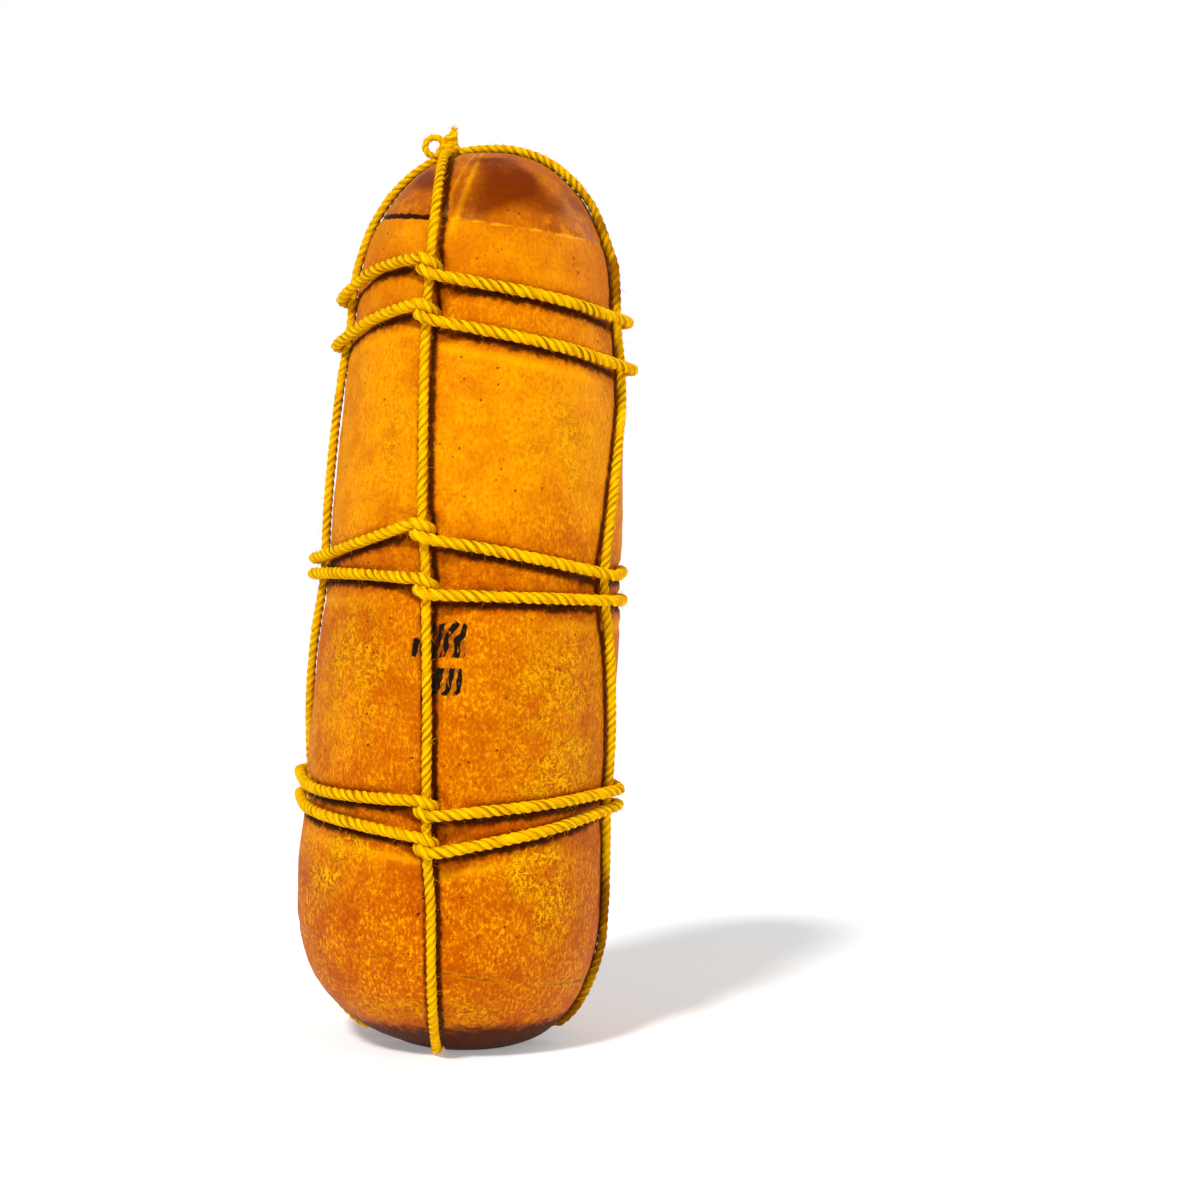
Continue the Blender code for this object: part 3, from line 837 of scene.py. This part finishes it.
def add_slot(run):
    """A cutter for the slot beneath the cheese that holds a lengthwise cord."""
    centre, heading, height, half_length = run
    half_width = LENGTH_CORD + LAID
    top = height + half_width
    bpy.ops.mesh.primitive_cube_add(size=1.0)
    slot = bpy.context.object
    slot.data.transform(Matrix.Diagonal((2 * half_width, 2 * half_length + 0.012, top + 0.004, 1.0)))
    slot.location = centre + Vector((0.0, 0.0, (top - 0.004) / 2))
    slot.rotation_euler.z = math.atan2(-heading.x, heading.y)
    bpy.ops.object.transform_apply(location=True, rotation=True, scale=True)
    return slot


def cut_slots(obj):
    """Cuts the two slots and keeps the result as the piece's own mesh."""
    cutters = [add_slot(FRONT_BACK_RUN), add_slot(LEFT_RIGHT_RUN)]
    for cutter in cutters:
        cut = obj.modifiers.new("slot", "BOOLEAN")
        cut.operation = "DIFFERENCE"
        cut.solver = "MANIFOLD"
        cut.object = cutter
    graph = bpy.context.evaluated_depsgraph_get()
    mesh = bpy.data.meshes.new_from_object(obj.evaluated_get(graph), depsgraph=graph)
    obj.modifiers.clear()
    obj.data = mesh
    for cutter in cutters:
        bpy.data.objects.remove(cutter)
    mesh.shade_smooth()


# ---- laid cord ----


def smoothed(points, closed):
    """The points of a cord's line a short even step apart, on a smooth curve through its guides."""
    guides = np.array([tuple(point) for point in points])
    if closed:
        guides = np.vstack([guides[-1:], guides, guides[:2]])
    else:
        guides = np.vstack([2 * guides[0] - guides[1], guides, 2 * guides[-1] - guides[-2]])
    dense = []
    for k in range(1, len(guides) - 2):
        p0, p1, p2, p3 = guides[k - 1 : k + 3]
        for t in np.linspace(0, 1, 8, endpoint=False):
            lower = 2 * p1 + (p2 - p0) * t + (2 * p0 - 5 * p1 + 4 * p2 - p3) * t**2
            dense.append(0.5 * (lower + (3 * p1 - p0 - 3 * p2 + p3) * t**3))
    dense.append(guides[-2])
    dense = np.array(dense)
    steps = np.linalg.norm(np.diff(dense, axis=0), axis=1)
    lengths = np.concatenate([[0], np.cumsum(steps)])
    count = max(3, round(lengths[-1] / CORD_STEP))
    wanted = np.linspace(0, lengths[-1], count + 1)
    if closed:
        wanted = wanted[:-1]
    return np.stack([np.interp(wanted, lengths, dense[:, axis]) for axis in range(3)], 1)


def unit(vector):
    return vector / np.linalg.norm(vector)


def travelling_frames(line, closed):
    """(ahead, side, up) at each point of a line, turning no more than the line does."""
    if closed:
        ahead = np.roll(line, -1, 0) - np.roll(line, 1, 0)
    else:
        ahead = np.gradient(line, axis=0)
    ahead /= np.linalg.norm(ahead, axis=1, keepdims=True)
    side = np.cross(ahead[0], (0.0, 0.0, 1.0) if abs(ahead[0][2]) < 0.9 else (1.0, 0.0, 0.0))
    sides = []
    for direction in ahead:
        side = unit(side - direction * side.dot(direction))
        sides.append(side)
    sides = np.array(sides)
    ups = np.cross(ahead, sides)
    if closed:
        last = unit(sides[-1] - ahead[0] * sides[-1].dot(ahead[0]))
        slip = math.atan2(last.dot(ups[0]), last.dot(sides[0]))
        back = -slip * np.arange(len(line)) / len(line)
        cosine, sine = np.cos(back)[:, None], np.sin(back)[:, None]
        sides, ups = sides * cosine + ups * sine, ups * cosine - sides * sine
    return ahead, sides, ups


def strand_outline(turn, strands):
    """How far out the laid strands reach at an angle, as a share of the cord's radius."""
    half = math.pi / strands
    across = (turn + half) % (2 * half) - half
    offset, strand = 0.50, 0.50
    inside = strand**2 - (offset * np.sin(across)) ** 2
    reach = offset * np.cos(across) + np.sqrt(np.maximum(inside, 0.0))
    return np.maximum(reach, 0.79)


def hair_mesh(verts, faces, root, way, length, thick, rng):
    """Adds one loose fibre: a thin three-sided stem that curls as it leaves the cord."""
    bend = np.array([rng.gauss(0, 1) for _ in range(3)]) * 0.55
    point = root
    direction = way
    first = len(verts)
    for k in range(HAIR_JOINTS + 1):
        side = unit(np.cross(direction, (0.31, 0.52, 0.79)))
        up = np.cross(direction, side)
        radius = thick * (1 - 0.75 * k / HAIR_JOINTS)
        for turn in HAIR_CORNERS:
            verts.append(point + (side * math.cos(turn) + up * math.sin(turn)) * radius)
        if k < HAIR_JOINTS:
            direction = unit(direction + bend / HAIR_JOINTS)
            point = point + direction * (length / HAIR_JOINTS)
            point[2] = max(point[2], 2 * FLOOR_ROOM)
    for k in range(HAIR_JOINTS):
        base = first + 3 * k
        for corner in range(3):
            after = (corner + 1) % 3
            faces.append((base + corner, base + after, base + 3 + after, base + 3 + corner))
    faces.append((first + 2, first + 1, first))
    end = first + 3 * HAIR_JOINTS
    faces.append((end, end + 1, end + 2))


def cord_shade_share(point):
    """How much painted shade a cord gets at a spot: most on the right side, low on the foot and where it
    leaves the dome.
    """
    high = window(point[2], (0.325, 0.340), (0.392, 0.380))
    low = smooth_step(0.090, 0.060, point[2])
    return smooth_step(0.030, 0.045, point[0]) * max(0.75 * high, 0.95 * low)


def laid_cord(name, points, radius, closed, settings, seed, frayed=False):
    """A cord of twisted strands along a line of guide points, with its loose fibres."""
    line = smoothed(points, closed)
    ahead, sides, ups = travelling_frames(line, closed)
    length = np.linalg.norm(np.diff(line, axis=0), axis=1).sum()
    lay = settings.lay * radius / BINDING_CORD
    turns = length / lay
    if closed:
        turns = round(turns * settings.strands) / settings.strands
    count = len(line)
    along = np.arange(count) / count
    angles = np.linspace(0, 2 * math.pi, CORD_AROUND, endpoint=False)
    grid = angles[None, :] + 0 * along[:, None]
    wander = [0.35 * noise.noise(Vector((k * 0.045, seed * 1.9, 0.2))) for k in range(count)]
    fade = np.sin(np.pi * along) ** 0.5
    twist = 2 * math.pi * turns * along[:, None] + (np.array(wander) * fade)[:, None]
    reach = strand_outline(grid - twist, settings.strands)
    rng = random.Random(seed)
    thick = np.array(
        [1 + 0.09 * noise.noise(Vector((k * 0.13, seed * 3.7, 0.5))) for k in range(count)]
    )
    out = radius * reach * thick[:, None]
    if not closed:
        taper = np.ones(count)
        taper[0] = taper[-1] = 0.55
        out = out * taper[:, None]
    verts = (
        line[:, None, :]
        + sides[:, None, :] * (np.cos(grid) * out)[:, :, None]
        + ups[:, None, :] * (np.sin(grid) * out)[:, :, None]
    ).reshape(-1, 3)
    verts[:, 2] = np.maximum(verts[:, 2], FLOOR_ROOM)
    valley = (reach.max() - reach) / (reach.max() - reach.min())
    faces = []
    rounds = count if closed else count - 1
    for k in range(rounds):
        here, after = k * CORD_AROUND, ((k + 1) % count) * CORD_AROUND
        for j in range(CORD_AROUND):
            beyond = (j + 1) % CORD_AROUND
            faces.append((here + j, here + beyond, after + beyond, after + j))
    if not closed:
        faces.append(tuple(reversed(range(CORD_AROUND))))
        faces.append(tuple(range((count - 1) * CORD_AROUND, count * CORD_AROUND)))
    verts = [np.array(vertex) for vertex in verts]
    body = len(verts)

    def outward(spot):
        """A way out of the cord at a spot, at any angle round it."""
        angle = rng.uniform(0, 2 * math.pi)
        return sides[spot] * math.cos(angle) + ups[spot] * math.sin(angle)

    for _ in range(int(length / settings.hair_spacing)):
        spot = rng.randrange(1, count - 1)
        out = outward(spot)
        root = line[spot] + out * radius * 0.82
        if root[2] < 0.006:
            continue
        way = out * rng.uniform(0.25, 1.0) + ahead[spot] * rng.choice((-1, 1)) * rng.uniform(0.4, 1.4)
        size = settings.hair_length * rng.uniform(0.3, 1.0) ** 1.6
        hair_mesh(verts, faces, root, unit(way), size, HAIR_THICKNESS + 0.00004 * rng.random(), rng)
    for end, way in ((0, -ahead[0]), (count - 1, ahead[-1])):
        for _ in range(FRAY_COUNT if frayed else 0):
            spread = np.array([rng.gauss(0, 0.35) for _ in range(3)])
            out = outward(end)
            root = line[end] + out * radius * rng.uniform(0, 0.6)
            way_out = unit(way + spread + out * 0.35)
            hair_mesh(verts, faces, root, way_out, rng.uniform(0.0012, 0.0030), FRAY_THICKNESS, rng)
    mesh = bpy.data.meshes.new(name)
    mesh.from_pydata([tuple(vertex) for vertex in verts], [], faces)
    fill = len(verts) - body
    store(mesh, "valley", np.concatenate([valley.ravel(), np.zeros(fill)]))
    turned = grid - twist
    laid = np.stack([np.cos(turned), np.sin(turned), along[:, None] * length + 0 * grid], -1).reshape(-1, 3)
    loose = np.array(verts[body:]).reshape(-1, 3)
    layer = mesh.attributes.new("lay", "FLOAT_VECTOR", "POINT")
    layer.data.foreach_set("vector", np.concatenate([laid, loose]).astype(np.float32).ravel())
    store(mesh, "cord_shade", [cord_shade_share(vertex) for vertex in verts])
    mesh.shade_smooth()
    mesh.update()
    return mesh


# ---- materials ----


class Value:
    """A node's output, which adds, subtracts and multiplies like a number."""

    def __init__(self, graph, socket):
        self.graph = graph
        self.socket = socket

    def __add__(self, other):
        return self.graph.math("ADD", self, other)

    def __sub__(self, other):
        return self.graph.math("SUBTRACT", self, other)

    def __mul__(self, other):
        return self.graph.math("MULTIPLY", self, other)

    def spread(self, low, high, to_low=0.0, to_high=1.0):
        """Eased from one range to another, and held at its ends."""
        inputs = {"Value": self, "From Min": low, "From Max": high, "To Min": to_low, "To Max": to_high}
        return self.graph.node("ShaderNodeMapRange", inputs, "Result", interpolation_type="SMOOTHSTEP")


class Graph:
    """A short way to wire a material's nodes, with the colour that its paints have made so far."""

    def __init__(self, name, colour):
        self.material = bpy.data.materials.new(name)
        self.material.use_nodes = True
        self.tree = self.material.node_tree
        self.shader = self.tree.nodes["Principled BSDF"].inputs
        self.colour = (*colour, 1.0)

    def node(self, kind, inputs, output, **settings):
        """Adds a node, feeds its inputs and gives one of its outputs."""
        made = self.tree.nodes.new(kind)
        for key, value in settings.items():
            setattr(made, key, value)
        for key, value in inputs.items():
            self.feed(value, made.inputs[key])
        return Value(self, made.outputs[output])

    def feed(self, value, socket):
        if isinstance(value, Value):
            self.tree.links.new(value.socket, socket)
        else:
            socket.default_value = value

    def math(self, operation, *values):
        return self.node("ShaderNodeMath", dict(enumerate(values)), 0, operation=operation)

    def number(self, name):
        return self.node("ShaderNodeAttribute", {}, "Fac", attribute_name=name)

    def noise(self, vector, scale, detail=2.0, roughness=0.5, distortion=0.0):
        inputs = {"Vector": vector, "Scale": scale, "Detail": detail}
        inputs |= {"Roughness": roughness, "Distortion": distortion}
        return self.node("ShaderNodeTexNoise", inputs, "Fac")

    def placed(self, stretch=(1, 1, 1), turn=(0, 0, 0), shift=(0, 0, 0), start=None):
        """The piece's own coordinates, or others, stretched, turned and shifted."""
        start = start or self.node("ShaderNodeTexCoord", {}, "Object")
        inputs = {"Vector": start, "Scale": stretch, "Rotation": turn, "Location": shift}
        return self.node("ShaderNodeMapping", inputs, "Vector")

    def paint(self, share, colour):
        """Lays a colour over those before it, by a share from 0 to 1."""
        inputs = {"Factor": share, 6: self.colour, 7: (*colour, 1.0)}
        self.colour = self.node("ShaderNodeMix", inputs, 2, data_type="RGBA")

    def finish(self, roughness, specular, tint, height=None, strength=0.0, distance=0.0):
        """Feeds the shader its colour, gloss and relief, and gives the material."""
        self.feed(self.colour, self.shader["Base Color"])
        self.feed(roughness, self.shader["Roughness"])
        self.shader["Specular IOR Level"].default_value = specular
        self.shader["Specular Tint"].default_value = (*tint, 1.0)
        if height:
            inputs = {"Strength": strength, "Distance": distance, "Height": height}
            self.feed(self.node("ShaderNodeBump", inputs, "Normal"), self.shader["Normal"])
        return self.material




def ink_share(graph):
    """How strongly the marker's slanted strokes cover a spot."""
    ink = graph.number("ink")
    slanted = graph.placed(turn=(0.0, math.radians(-17), 0.0), shift=(0.0006, 0.0, 0.0))
    inputs = {"Vector": slanted, "Scale": 72.0, "Distortion": 5.0, "Detail": 2.0, "Detail Scale": 1.3}
    strokes = graph.node("ShaderNodeTexWave", inputs, "Fac", bands_direction="X").spread(0.20, 0.46)
    dry = graph.noise(graph.placed((1, 1, 0.35)), 700.0, 3.0).spread(0.26, 0.40)
    uneven = (graph.noise(slanted, 260.0, 2.0) - 0.5) * 1.5
    box = (ink + uneven).spread(0.30, 0.44)
    smudge = ink * graph.noise(slanted, 260.0, 3.0).spread(0.3, 0.7, 0.05, 0.75)
    return graph.math("MAXIMUM", strokes * dry * box, smudge)


def rind_material(settings):
    graph = Graph("waxed_rind", settings.amber)
    plain = graph.placed()
    coarse = graph.number("coarse")
    crown = graph.number("crown")
    pale = graph.number("pale")
    dry = graph.number("crust")

    # clouds, stains and flecks of the barrel
    clouds = graph.noise(plain, 26.0, 3.0, 0.55)
    drift = clouds + graph.number("glow") * 0.25 - coarse * 0.10
    graph.paint(drift.spread(0.36, 0.72), settings.honey)
    # the lower barrel painted darker and redder, in two steps towards the foot
    graph.paint(coarse * 0.24, settings.rust)
    mottle = graph.noise(plain, 70.0, 6.0, 0.62)
    depth = coarse * 0.30 + 0.32
    graph.paint(mottle.spread(0.56, 0.34) * depth, settings.rust)
    flecks = graph.noise(graph.placed((1.0, 1.0, 0.7)), 700.0, 4.0, 0.70, 0.2)
    bright = (coarse * 0.10 + 0.50) * mottle.spread(0.36, 0.60, 0.35, 1.0)
    bright = bright * graph.number("calm").spread(0.0, 1.0, 1.0, 0.45)
    graph.paint(flecks.spread(0.50, 0.63) * bright, settings.straw)
    graph.paint(flecks.spread(0.48, 0.35) * (depth * 1.25), settings.rust)

    # dry crusts, lacy over darker dips, and the pale marks of old cords
    crumbs = graph.noise(plain, 380.0, 5.0, 0.74, 0.3)
    winding = graph.math("ABSOLUTE", graph.noise(plain, 250.0, 4.0, 0.62, 0.5) - 0.5)
    lace = graph.math("MAXIMUM", winding.spread(0.055, 0.025), crumbs.spread(0.53, 0.60))
    crust = dry * lace
    graph.paint(dry * crumbs.spread(0.50, 0.38) * 0.95, settings.rust)
    graph.paint(crust, settings.straw)
    graph.paint(pale * 0.5, settings.straw)

    # the brown cap with its scorch
    streaks = graph.noise(graph.placed((1.0, 1.0, 0.3)), 55.0, 4.0, 0.6)
    cap = crown * streaks.spread(0.30, 0.62, 1.0, 0.42) * pale.spread(0.2, 0.9, 1.0, 0.2)
    cap = cap * graph.noise(plain, 210.0, 5.0, 0.7).spread(0.48, 0.58, 1.0, 0.42)
    graph.paint(cap, settings.crown)
    scorch = graph.number("scorch") + (streaks - 0.5) * 0.9
    graph.paint(scorch.spread(0.05, 0.85) * crown * 0.9, settings.scorch)

    # pits, the lower seam, the top seam's painted shade and highlight, painted shade by the cords, and ink,
    # all with ragged edges
    inputs = {"Vector": plain, "Scale": 170.0, "Randomness": 1.0}
    spots = graph.node("ShaderNodeTexVoronoi", inputs, "Distance")
    rare = graph.noise(graph.placed(shift=(4, 2, 9)), 70.0, 2.0).spread(0.50, 0.60)
    pits = spots.spread(0.13, 0.06) * rare
    graph.paint(pits * 0.75, settings.scorch)
    ragged = (graph.noise(plain, 300.0, 4.0, 0.6) - 0.5) * 0.8
    for name, low, high, strength, colour in (
        ("crease", 0.55, 0.80, 0.30, settings.straw),
        ("crease", 0.66, 0.90, 0.65, settings.scorch),
        # painted highlight along the top seam on the right, painted shade in it on the left
        ("rim", 0.72, 0.98, 0.55, settings.straw),
        ("seam", 0.42, 0.66, 1.00, settings.painted_shade),
        # painted shade by the cords: a rust edge round a near-black core
        ("painted_shade", 0.05, 0.85, 0.60, settings.rust),
        ("painted_shade", 0.42, 0.86, 0.93, settings.painted_shade),
    ):
        graph.paint((graph.number(name) + ragged).spread(low, high) * strength, colour)
    graph.paint(ink_share(graph), settings.ink)

    gloss = crown.spread(0.0, 1.0, 0.55, 0.32) + crust * 0.25 + (clouds - 0.5) * 0.2
    relief = flecks * 0.75 + crust * 0.8 + graph.noise(plain, 1300.0, 2.0) * 0.22 - pits * 0.9
    relief = relief * crown.spread(0.0, 1.0, 1.0, 0.22)
    return graph.finish(gloss, 0.09, (1.0, 0.55, 0.10), relief, 0.85, 0.0009)


def jute_material(settings):
    """Drawn fibres and yarns that follow each strand's lay, with painted shade between the strands and on the
    cords on the right.
    """
    graph = Graph("jute_cord", settings.ochre)
    lay = graph.node("ShaderNodeAttribute", {}, "Vector", attribute_name="lay")
    drawn = graph.placed((2.2, 2.2, 130.0), start=lay)
    fibres = graph.noise(drawn, 1.0, 4.0, 0.62)
    yarns = graph.noise(graph.placed((1.0, 1.0, 22.0), start=lay), 1.6, 2.0, 0.5)
    fuzz = graph.noise(graph.placed(), 1700.0, 3.0, 0.6)
    light = fibres * 0.55 + yarns * 0.30 + fuzz * 0.15
    graph.paint(light.spread(0.42, 0.54), settings.gold)
    uneven_shade = graph.noise(graph.placed(), 46.0, 3.0).spread(0.35, 0.62, 0.45, 1.0)
    # painted shade in the valleys between the strands
    valley_shade = graph.number("valley").spread(0.30, 1.0) * uneven_shade * fibres.spread(0.62, 0.40, 0.35, 1.0) * 0.85
    graph.paint(valley_shade, settings.shade)
    graph.paint(graph.noise(drawn, 2.4, 3.0, 0.6).spread(0.41, 0.30, 0.0, 0.75), settings.shade)
    # painted shade on the cords on the right side
    cord_shade = graph.number("cord_shade") * uneven_shade.spread(0.45, 1.0, 0.62, 1.15) + (fibres - 0.5) * 1.8
    graph.paint(cord_shade.spread(0.25, 0.75) * 0.85, settings.shade)
    return graph.finish(0.8, 0.06, (1.0, 0.7, 0.15), fibres * 0.8 + fuzz * 0.3, 0.9, 0.0006)


def jute():
    """The one cord material that all the cords share."""
    found = bpy.data.materials.get("jute_cord")
    return found or jute_material(bpy.context.scene.provolone_cord)


def floor_material(colour, glow):
    graph = Graph("studio_floor", (0.0, 0.0, 0.0))
    graph.paint(graph.noise(graph.placed(), 3.0, 2.0).spread(0.3, 0.7, 0.985, 1.0), colour)
    graph.shader["Emission Color"].default_value = (1.0, 1.0, 1.0, 1.0)
    graph.shader["Emission Strength"].default_value = glow
    return graph.finish(0.9, 0.1, (1.0, 1.0, 1.0))


# ---- the knot ----


def knot_frame():
    """The knot's own axes: z straight out of the rind, x towards the right, y towards the back."""
    spot = on_end(*KNOT_PLAN, 0.0, True)
    out = (spot - middle(SHOULDER_HEIGHT)).normalized()
    right = Vector((0.0, 1.0, 0.0)).cross(out).normalized()
    axes = Matrix((right, out.cross(right), out)).transposed().to_4x4()
    axes.translation = spot
    return axes


def ring_line(axes, place, radius, tilt, turns=1.0, rise=0.0, steps=28):
    """Guide points of a turn of cord in the knot's axes, tilted by degrees about x and y."""
    about_x = Matrix.Rotation(math.radians(tilt[0]), 4, "X")
    about_y = Matrix.Rotation(math.radians(tilt[1]), 4, "Y")
    moved = axes @ Matrix.Translation(place) @ about_x @ about_y
    points = []
    for k in range(steps + (0 if turns == 1.0 and rise == 0.0 else 1)):
        angle = 2 * math.pi * turns * k / steps
        points.append(moved @ Vector((radius * math.cos(angle), radius * math.sin(angle), rise * k / steps)))
    return points


def join_meshes(name, meshes):
    """One mesh that holds several, with what each has stored on its vertices."""
    shape = bmesh.new()
    for mesh in meshes:
        shape.from_mesh(mesh)
    joined = bpy.data.meshes.new(name)
    shape.to_mesh(joined)
    shape.free()
    for mesh in meshes:
        bpy.data.meshes.remove(mesh)
    joined.shade_smooth()
    return joined


def knot_mesh(settings):
    """The knot's eye, turns, stub and cap, joined."""
    axes = knot_frame()
    low = LENGTH_CORD + LAID
    foot = axes @ Vector((0.0016, 0.0, low + 0.001))
    tip = foot + Vector((0.10, 0.04, 1.0)).normalized() * STUB_LENGTH
    stub = [between(foot, tip, share) for share in (0.0, 0.35, 0.7, 1.0)]
    collar = ring_line(axes, (0, 0, low - 0.0004), 0.0034, (4, 0), 1.9, 0.0036, 40)
    over = ring_line(axes, (0.001, 0, low + 0.0026), 0.0030, (62, 18))
    eye = ring_line(axes, (-0.0056, -0.0014, low + 0.0046), 0.0043, (88, 4))
    cap = ring_line(axes, Vector((0.0022, 0.0004, low + 0.0072)), 0.0018, (24, -14))
    core = [axes @ Vector((0.0, 0.0, low + height)) for height in (-0.0018, 0.0005, 0.0030)]
    parts = (  # name, line, radius, closed, seed, frayed
        ("knot_collar", collar, LENGTH_CORD, False, 21, False),
        ("knot_over", over, LENGTH_CORD, True, 22, False),
        ("knot_eye", eye, 0.0016, True, 23, False),
        ("knot_stub", stub, LENGTH_CORD, False, 24, True),
        ("knot_cap", cap, LENGTH_CORD * 0.8, True, 26, False),
        ("knot_core", core, LENGTH_CORD * 1.3, False, 25, False),
    )
    return join_meshes("top_knot_cord", [laid_cord(*part[:4], settings, *part[4:]) for part in parts])


def tail_line():
    """Guide points of the knot's loose tail over the shoulder."""
    guides = [on_end(x, y, LENGTH_CORD + LAID, True) for x, y in TAIL_PLAN]
    shares = [k / (len(guides) - 1) for k in range(len(guides))]
    axes = [[(share, guide[axis]) for share, guide in zip(shares, guides)] for axis in range(3)]
    return [Vector([through(pairs, k / 20) for pairs in axes]) for k in range(21)]


# ---- operators ----


def add_cord(node, points, radius, closed, seed, frayed=False):
    """Lays one cord along its guide points and links it, in place of its node."""
    settings = bpy.context.scene.provolone_cord
    mesh = laid_cord(node + "_jute", points, radius, closed, settings, seed, frayed)
    add_object(node + "_jute", mesh, jute(), node)


class PROVOLONE_OT_rind(bpy.types.Operator):
    """Make the cheese with its pressed, grained and waxed rind"""

    bl_idname = "provolone.rind"
    bl_label = "Rind"
    bl_options = {"REGISTER", "UNDO"}

    def execute(self, context):
        settings = context.scene.provolone_rind
        mesh = rind_mesh(settings)
        obj = add_object("provolone_rind", mesh, rind_material(settings), "cheese")
        cut_slots(obj)
        return {"FINISHED"}


class PROVOLONE_OT_length_cords(bpy.types.Operator):
    """Make the two cords that run lengthwise round the cheese"""

    bl_idname = "provolone.length_cords"
    bl_label = "Lengthwise cords"
    bl_options = {"REGISTER", "UNDO"}

    def execute(self, context):
        front_back = lengthwise_route("front", "back", FRONT_BACK_RUN)
        left_right = lengthwise_route("left", "right", LEFT_RIGHT_RUN)
        add_cord("cord_front_back", front_back, LENGTH_CORD, False, 1)
        add_cord("cord_left_right", left_right, LENGTH_CORD, False, 2)
        return {"FINISHED"}


class PROVOLONE_OT_bindings(bpy.types.Operator):
    """Make the six cords that bind the cheese crosswise"""

    bl_idname = "provolone.bindings"
    bl_label = "Bindings"
    bl_options = {"REGISTER", "UNDO"}

    def execute(self, context):
        for index, (node, heights, spans) in enumerate(BINDINGS):
            add_cord(node, binding_route(heights, spans), BINDING_CORD, True, 10 + index)
        return {"FINISHED"}


class PROVOLONE_OT_knot(bpy.types.Operator):
    """Make the knot on the top, with its eye, its stub and its loose tail"""

    bl_idname = "provolone.knot"
    bl_label = "Knot"
    bl_options = {"REGISTER", "UNDO"}

    def execute(self, context):
        settings = context.scene.provolone_cord
        add_object("top_knot_jute", knot_mesh(settings), jute(), "top_knot")
        add_cord("knot_tail", tail_line(), LENGTH_CORD * 0.9, False, 30, True)
        return {"FINISHED"}


def add_softbox(name, place, size, power):
    light = bpy.data.lights.new(name, "AREA")
    light.shape = "RECTANGLE"
    light.size, light.size_y = size
    light.energy = power
    light.color = (1.0, 0.98, 0.95)
    obj = linked(name, light)
    obj.location = place
    obj.rotation_euler = (LIT_POINT - Vector(place)).to_track_quat("-Z", "Y").to_euler()


def surround(strength):
    """An even light all round, over a plain white background."""
    world = bpy.data.worlds.new("studio_surround")
    world.use_nodes = True
    tree = world.node_tree
    around = tree.nodes["Background"]
    seen = tree.nodes.new("ShaderNodeBackground")
    for background in (around, seen):
        background.inputs["Color"].default_value = (1.0, 1.0, 1.0, 1.0)
    around.inputs["Strength"].default_value = strength
    choose = tree.nodes.new("ShaderNodeMixShader")
    path = tree.nodes.new("ShaderNodeLightPath")
    tree.links.new(path.outputs["Is Camera Ray"], choose.inputs["Fac"])
    tree.links.new(around.outputs["Background"], choose.inputs[1])
    tree.links.new(seen.outputs["Background"], choose.inputs[2])
    tree.links.new(choose.outputs["Shader"], tree.nodes["World Output"].inputs["Surface"])
    return world


class PROVOLONE_OT_studio(bpy.types.Operator):
    """Make the pale floor, the soft lights and the camera"""

    bl_idname = "provolone.studio"
    bl_label = "Studio"
    bl_options = {"REGISTER", "UNDO"}

    def execute(self, context):
        settings = context.scene.provolone_studio
        bpy.ops.mesh.primitive_plane_add(size=FLOOR_SIZE, location=(0.0, 0.0, -FLOOR_ROOM))
        floor = context.object
        floor.name = "studio_floor"
        floor.data.materials.append(floor_material(settings.floor, settings.floor_glow))

        key = bpy.data.lights.new("key", "SUN")
        key.energy = settings.key_strength
        key.angle = settings.key_softness
        shining = linked("key", key)
        shining.location = (-1.0, -1.6, 2.0)
        shining.rotation_euler = SUN_WAY.to_track_quat("-Z", "Y").to_euler()
        add_softbox("fill", (1.1, -1.7, 0.5), (1.0, 1.2), settings.fill_power)
        add_softbox("rim", (0.9, 0.35, 0.75), (0.5, 0.8), settings.rim_power)
        context.scene.world = surround(settings.sky_strength)

        camera = bpy.data.cameras.new("studio_camera")
        camera.lens = settings.lens
        camera.shift_x = CAMERA_SHIFT
        camera.clip_start = 0.05
        view = linked("studio_camera", camera)
        view.location = (0.0, -settings.camera_distance, settings.camera_height)
        view.rotation_euler = (math.pi / 2, 0.0, 0.0)
        context.scene.camera = view
        context.scene.view_settings.view_transform = "Standard"
        return {"FINISHED"}


class PROVOLONE_PT_panel(bpy.types.Panel):
    """The provolone's pieces and their settings"""

    bl_idname = "PROVOLONE_PT_panel"
    bl_label = "Bound Provolone"
    bl_space_type = "VIEW_3D"
    bl_region_type = "UI"
    bl_category = "Provolone"

    def draw(self, context):
        layout = self.layout
        for operator in OPERATORS:
            layout.operator(operator.bl_idname)
        for name, kind in GROUPS.items():
            box = layout.box()
            for setting in kind.__annotations__:
                box.prop(getattr(context.scene, name), setting)


OPERATORS = (
    PROVOLONE_OT_rind,
    PROVOLONE_OT_length_cords,
    PROVOLONE_OT_bindings,
    PROVOLONE_OT_knot,
    PROVOLONE_OT_studio,
)
GROUPS = {
    "provolone_rind": RindSettings,
    "provolone_cord": CordSettings,
    "provolone_studio": StudioSettings,
}
CLASSES = (*GROUPS.values(), *OPERATORS, PROVOLONE_PT_panel)


def register():
    for kind in CLASSES:
        bpy.utils.register_class(kind)
    for name, group in GROUPS.items():
        setattr(bpy.types.Scene, name, PointerProperty(type=group))


def unregister():
    for name in GROUPS:
        delattr(bpy.types.Scene, name)
    for kind in reversed(CLASSES):
        bpy.utils.unregister_class(kind)


def main():
    register()
    bpy.ops.provolone.rind()
    bpy.ops.provolone.length_cords()
    bpy.ops.provolone.bindings()
    bpy.ops.provolone.knot()
    bpy.ops.provolone.studio()


if __name__ == "__main__":
    main()
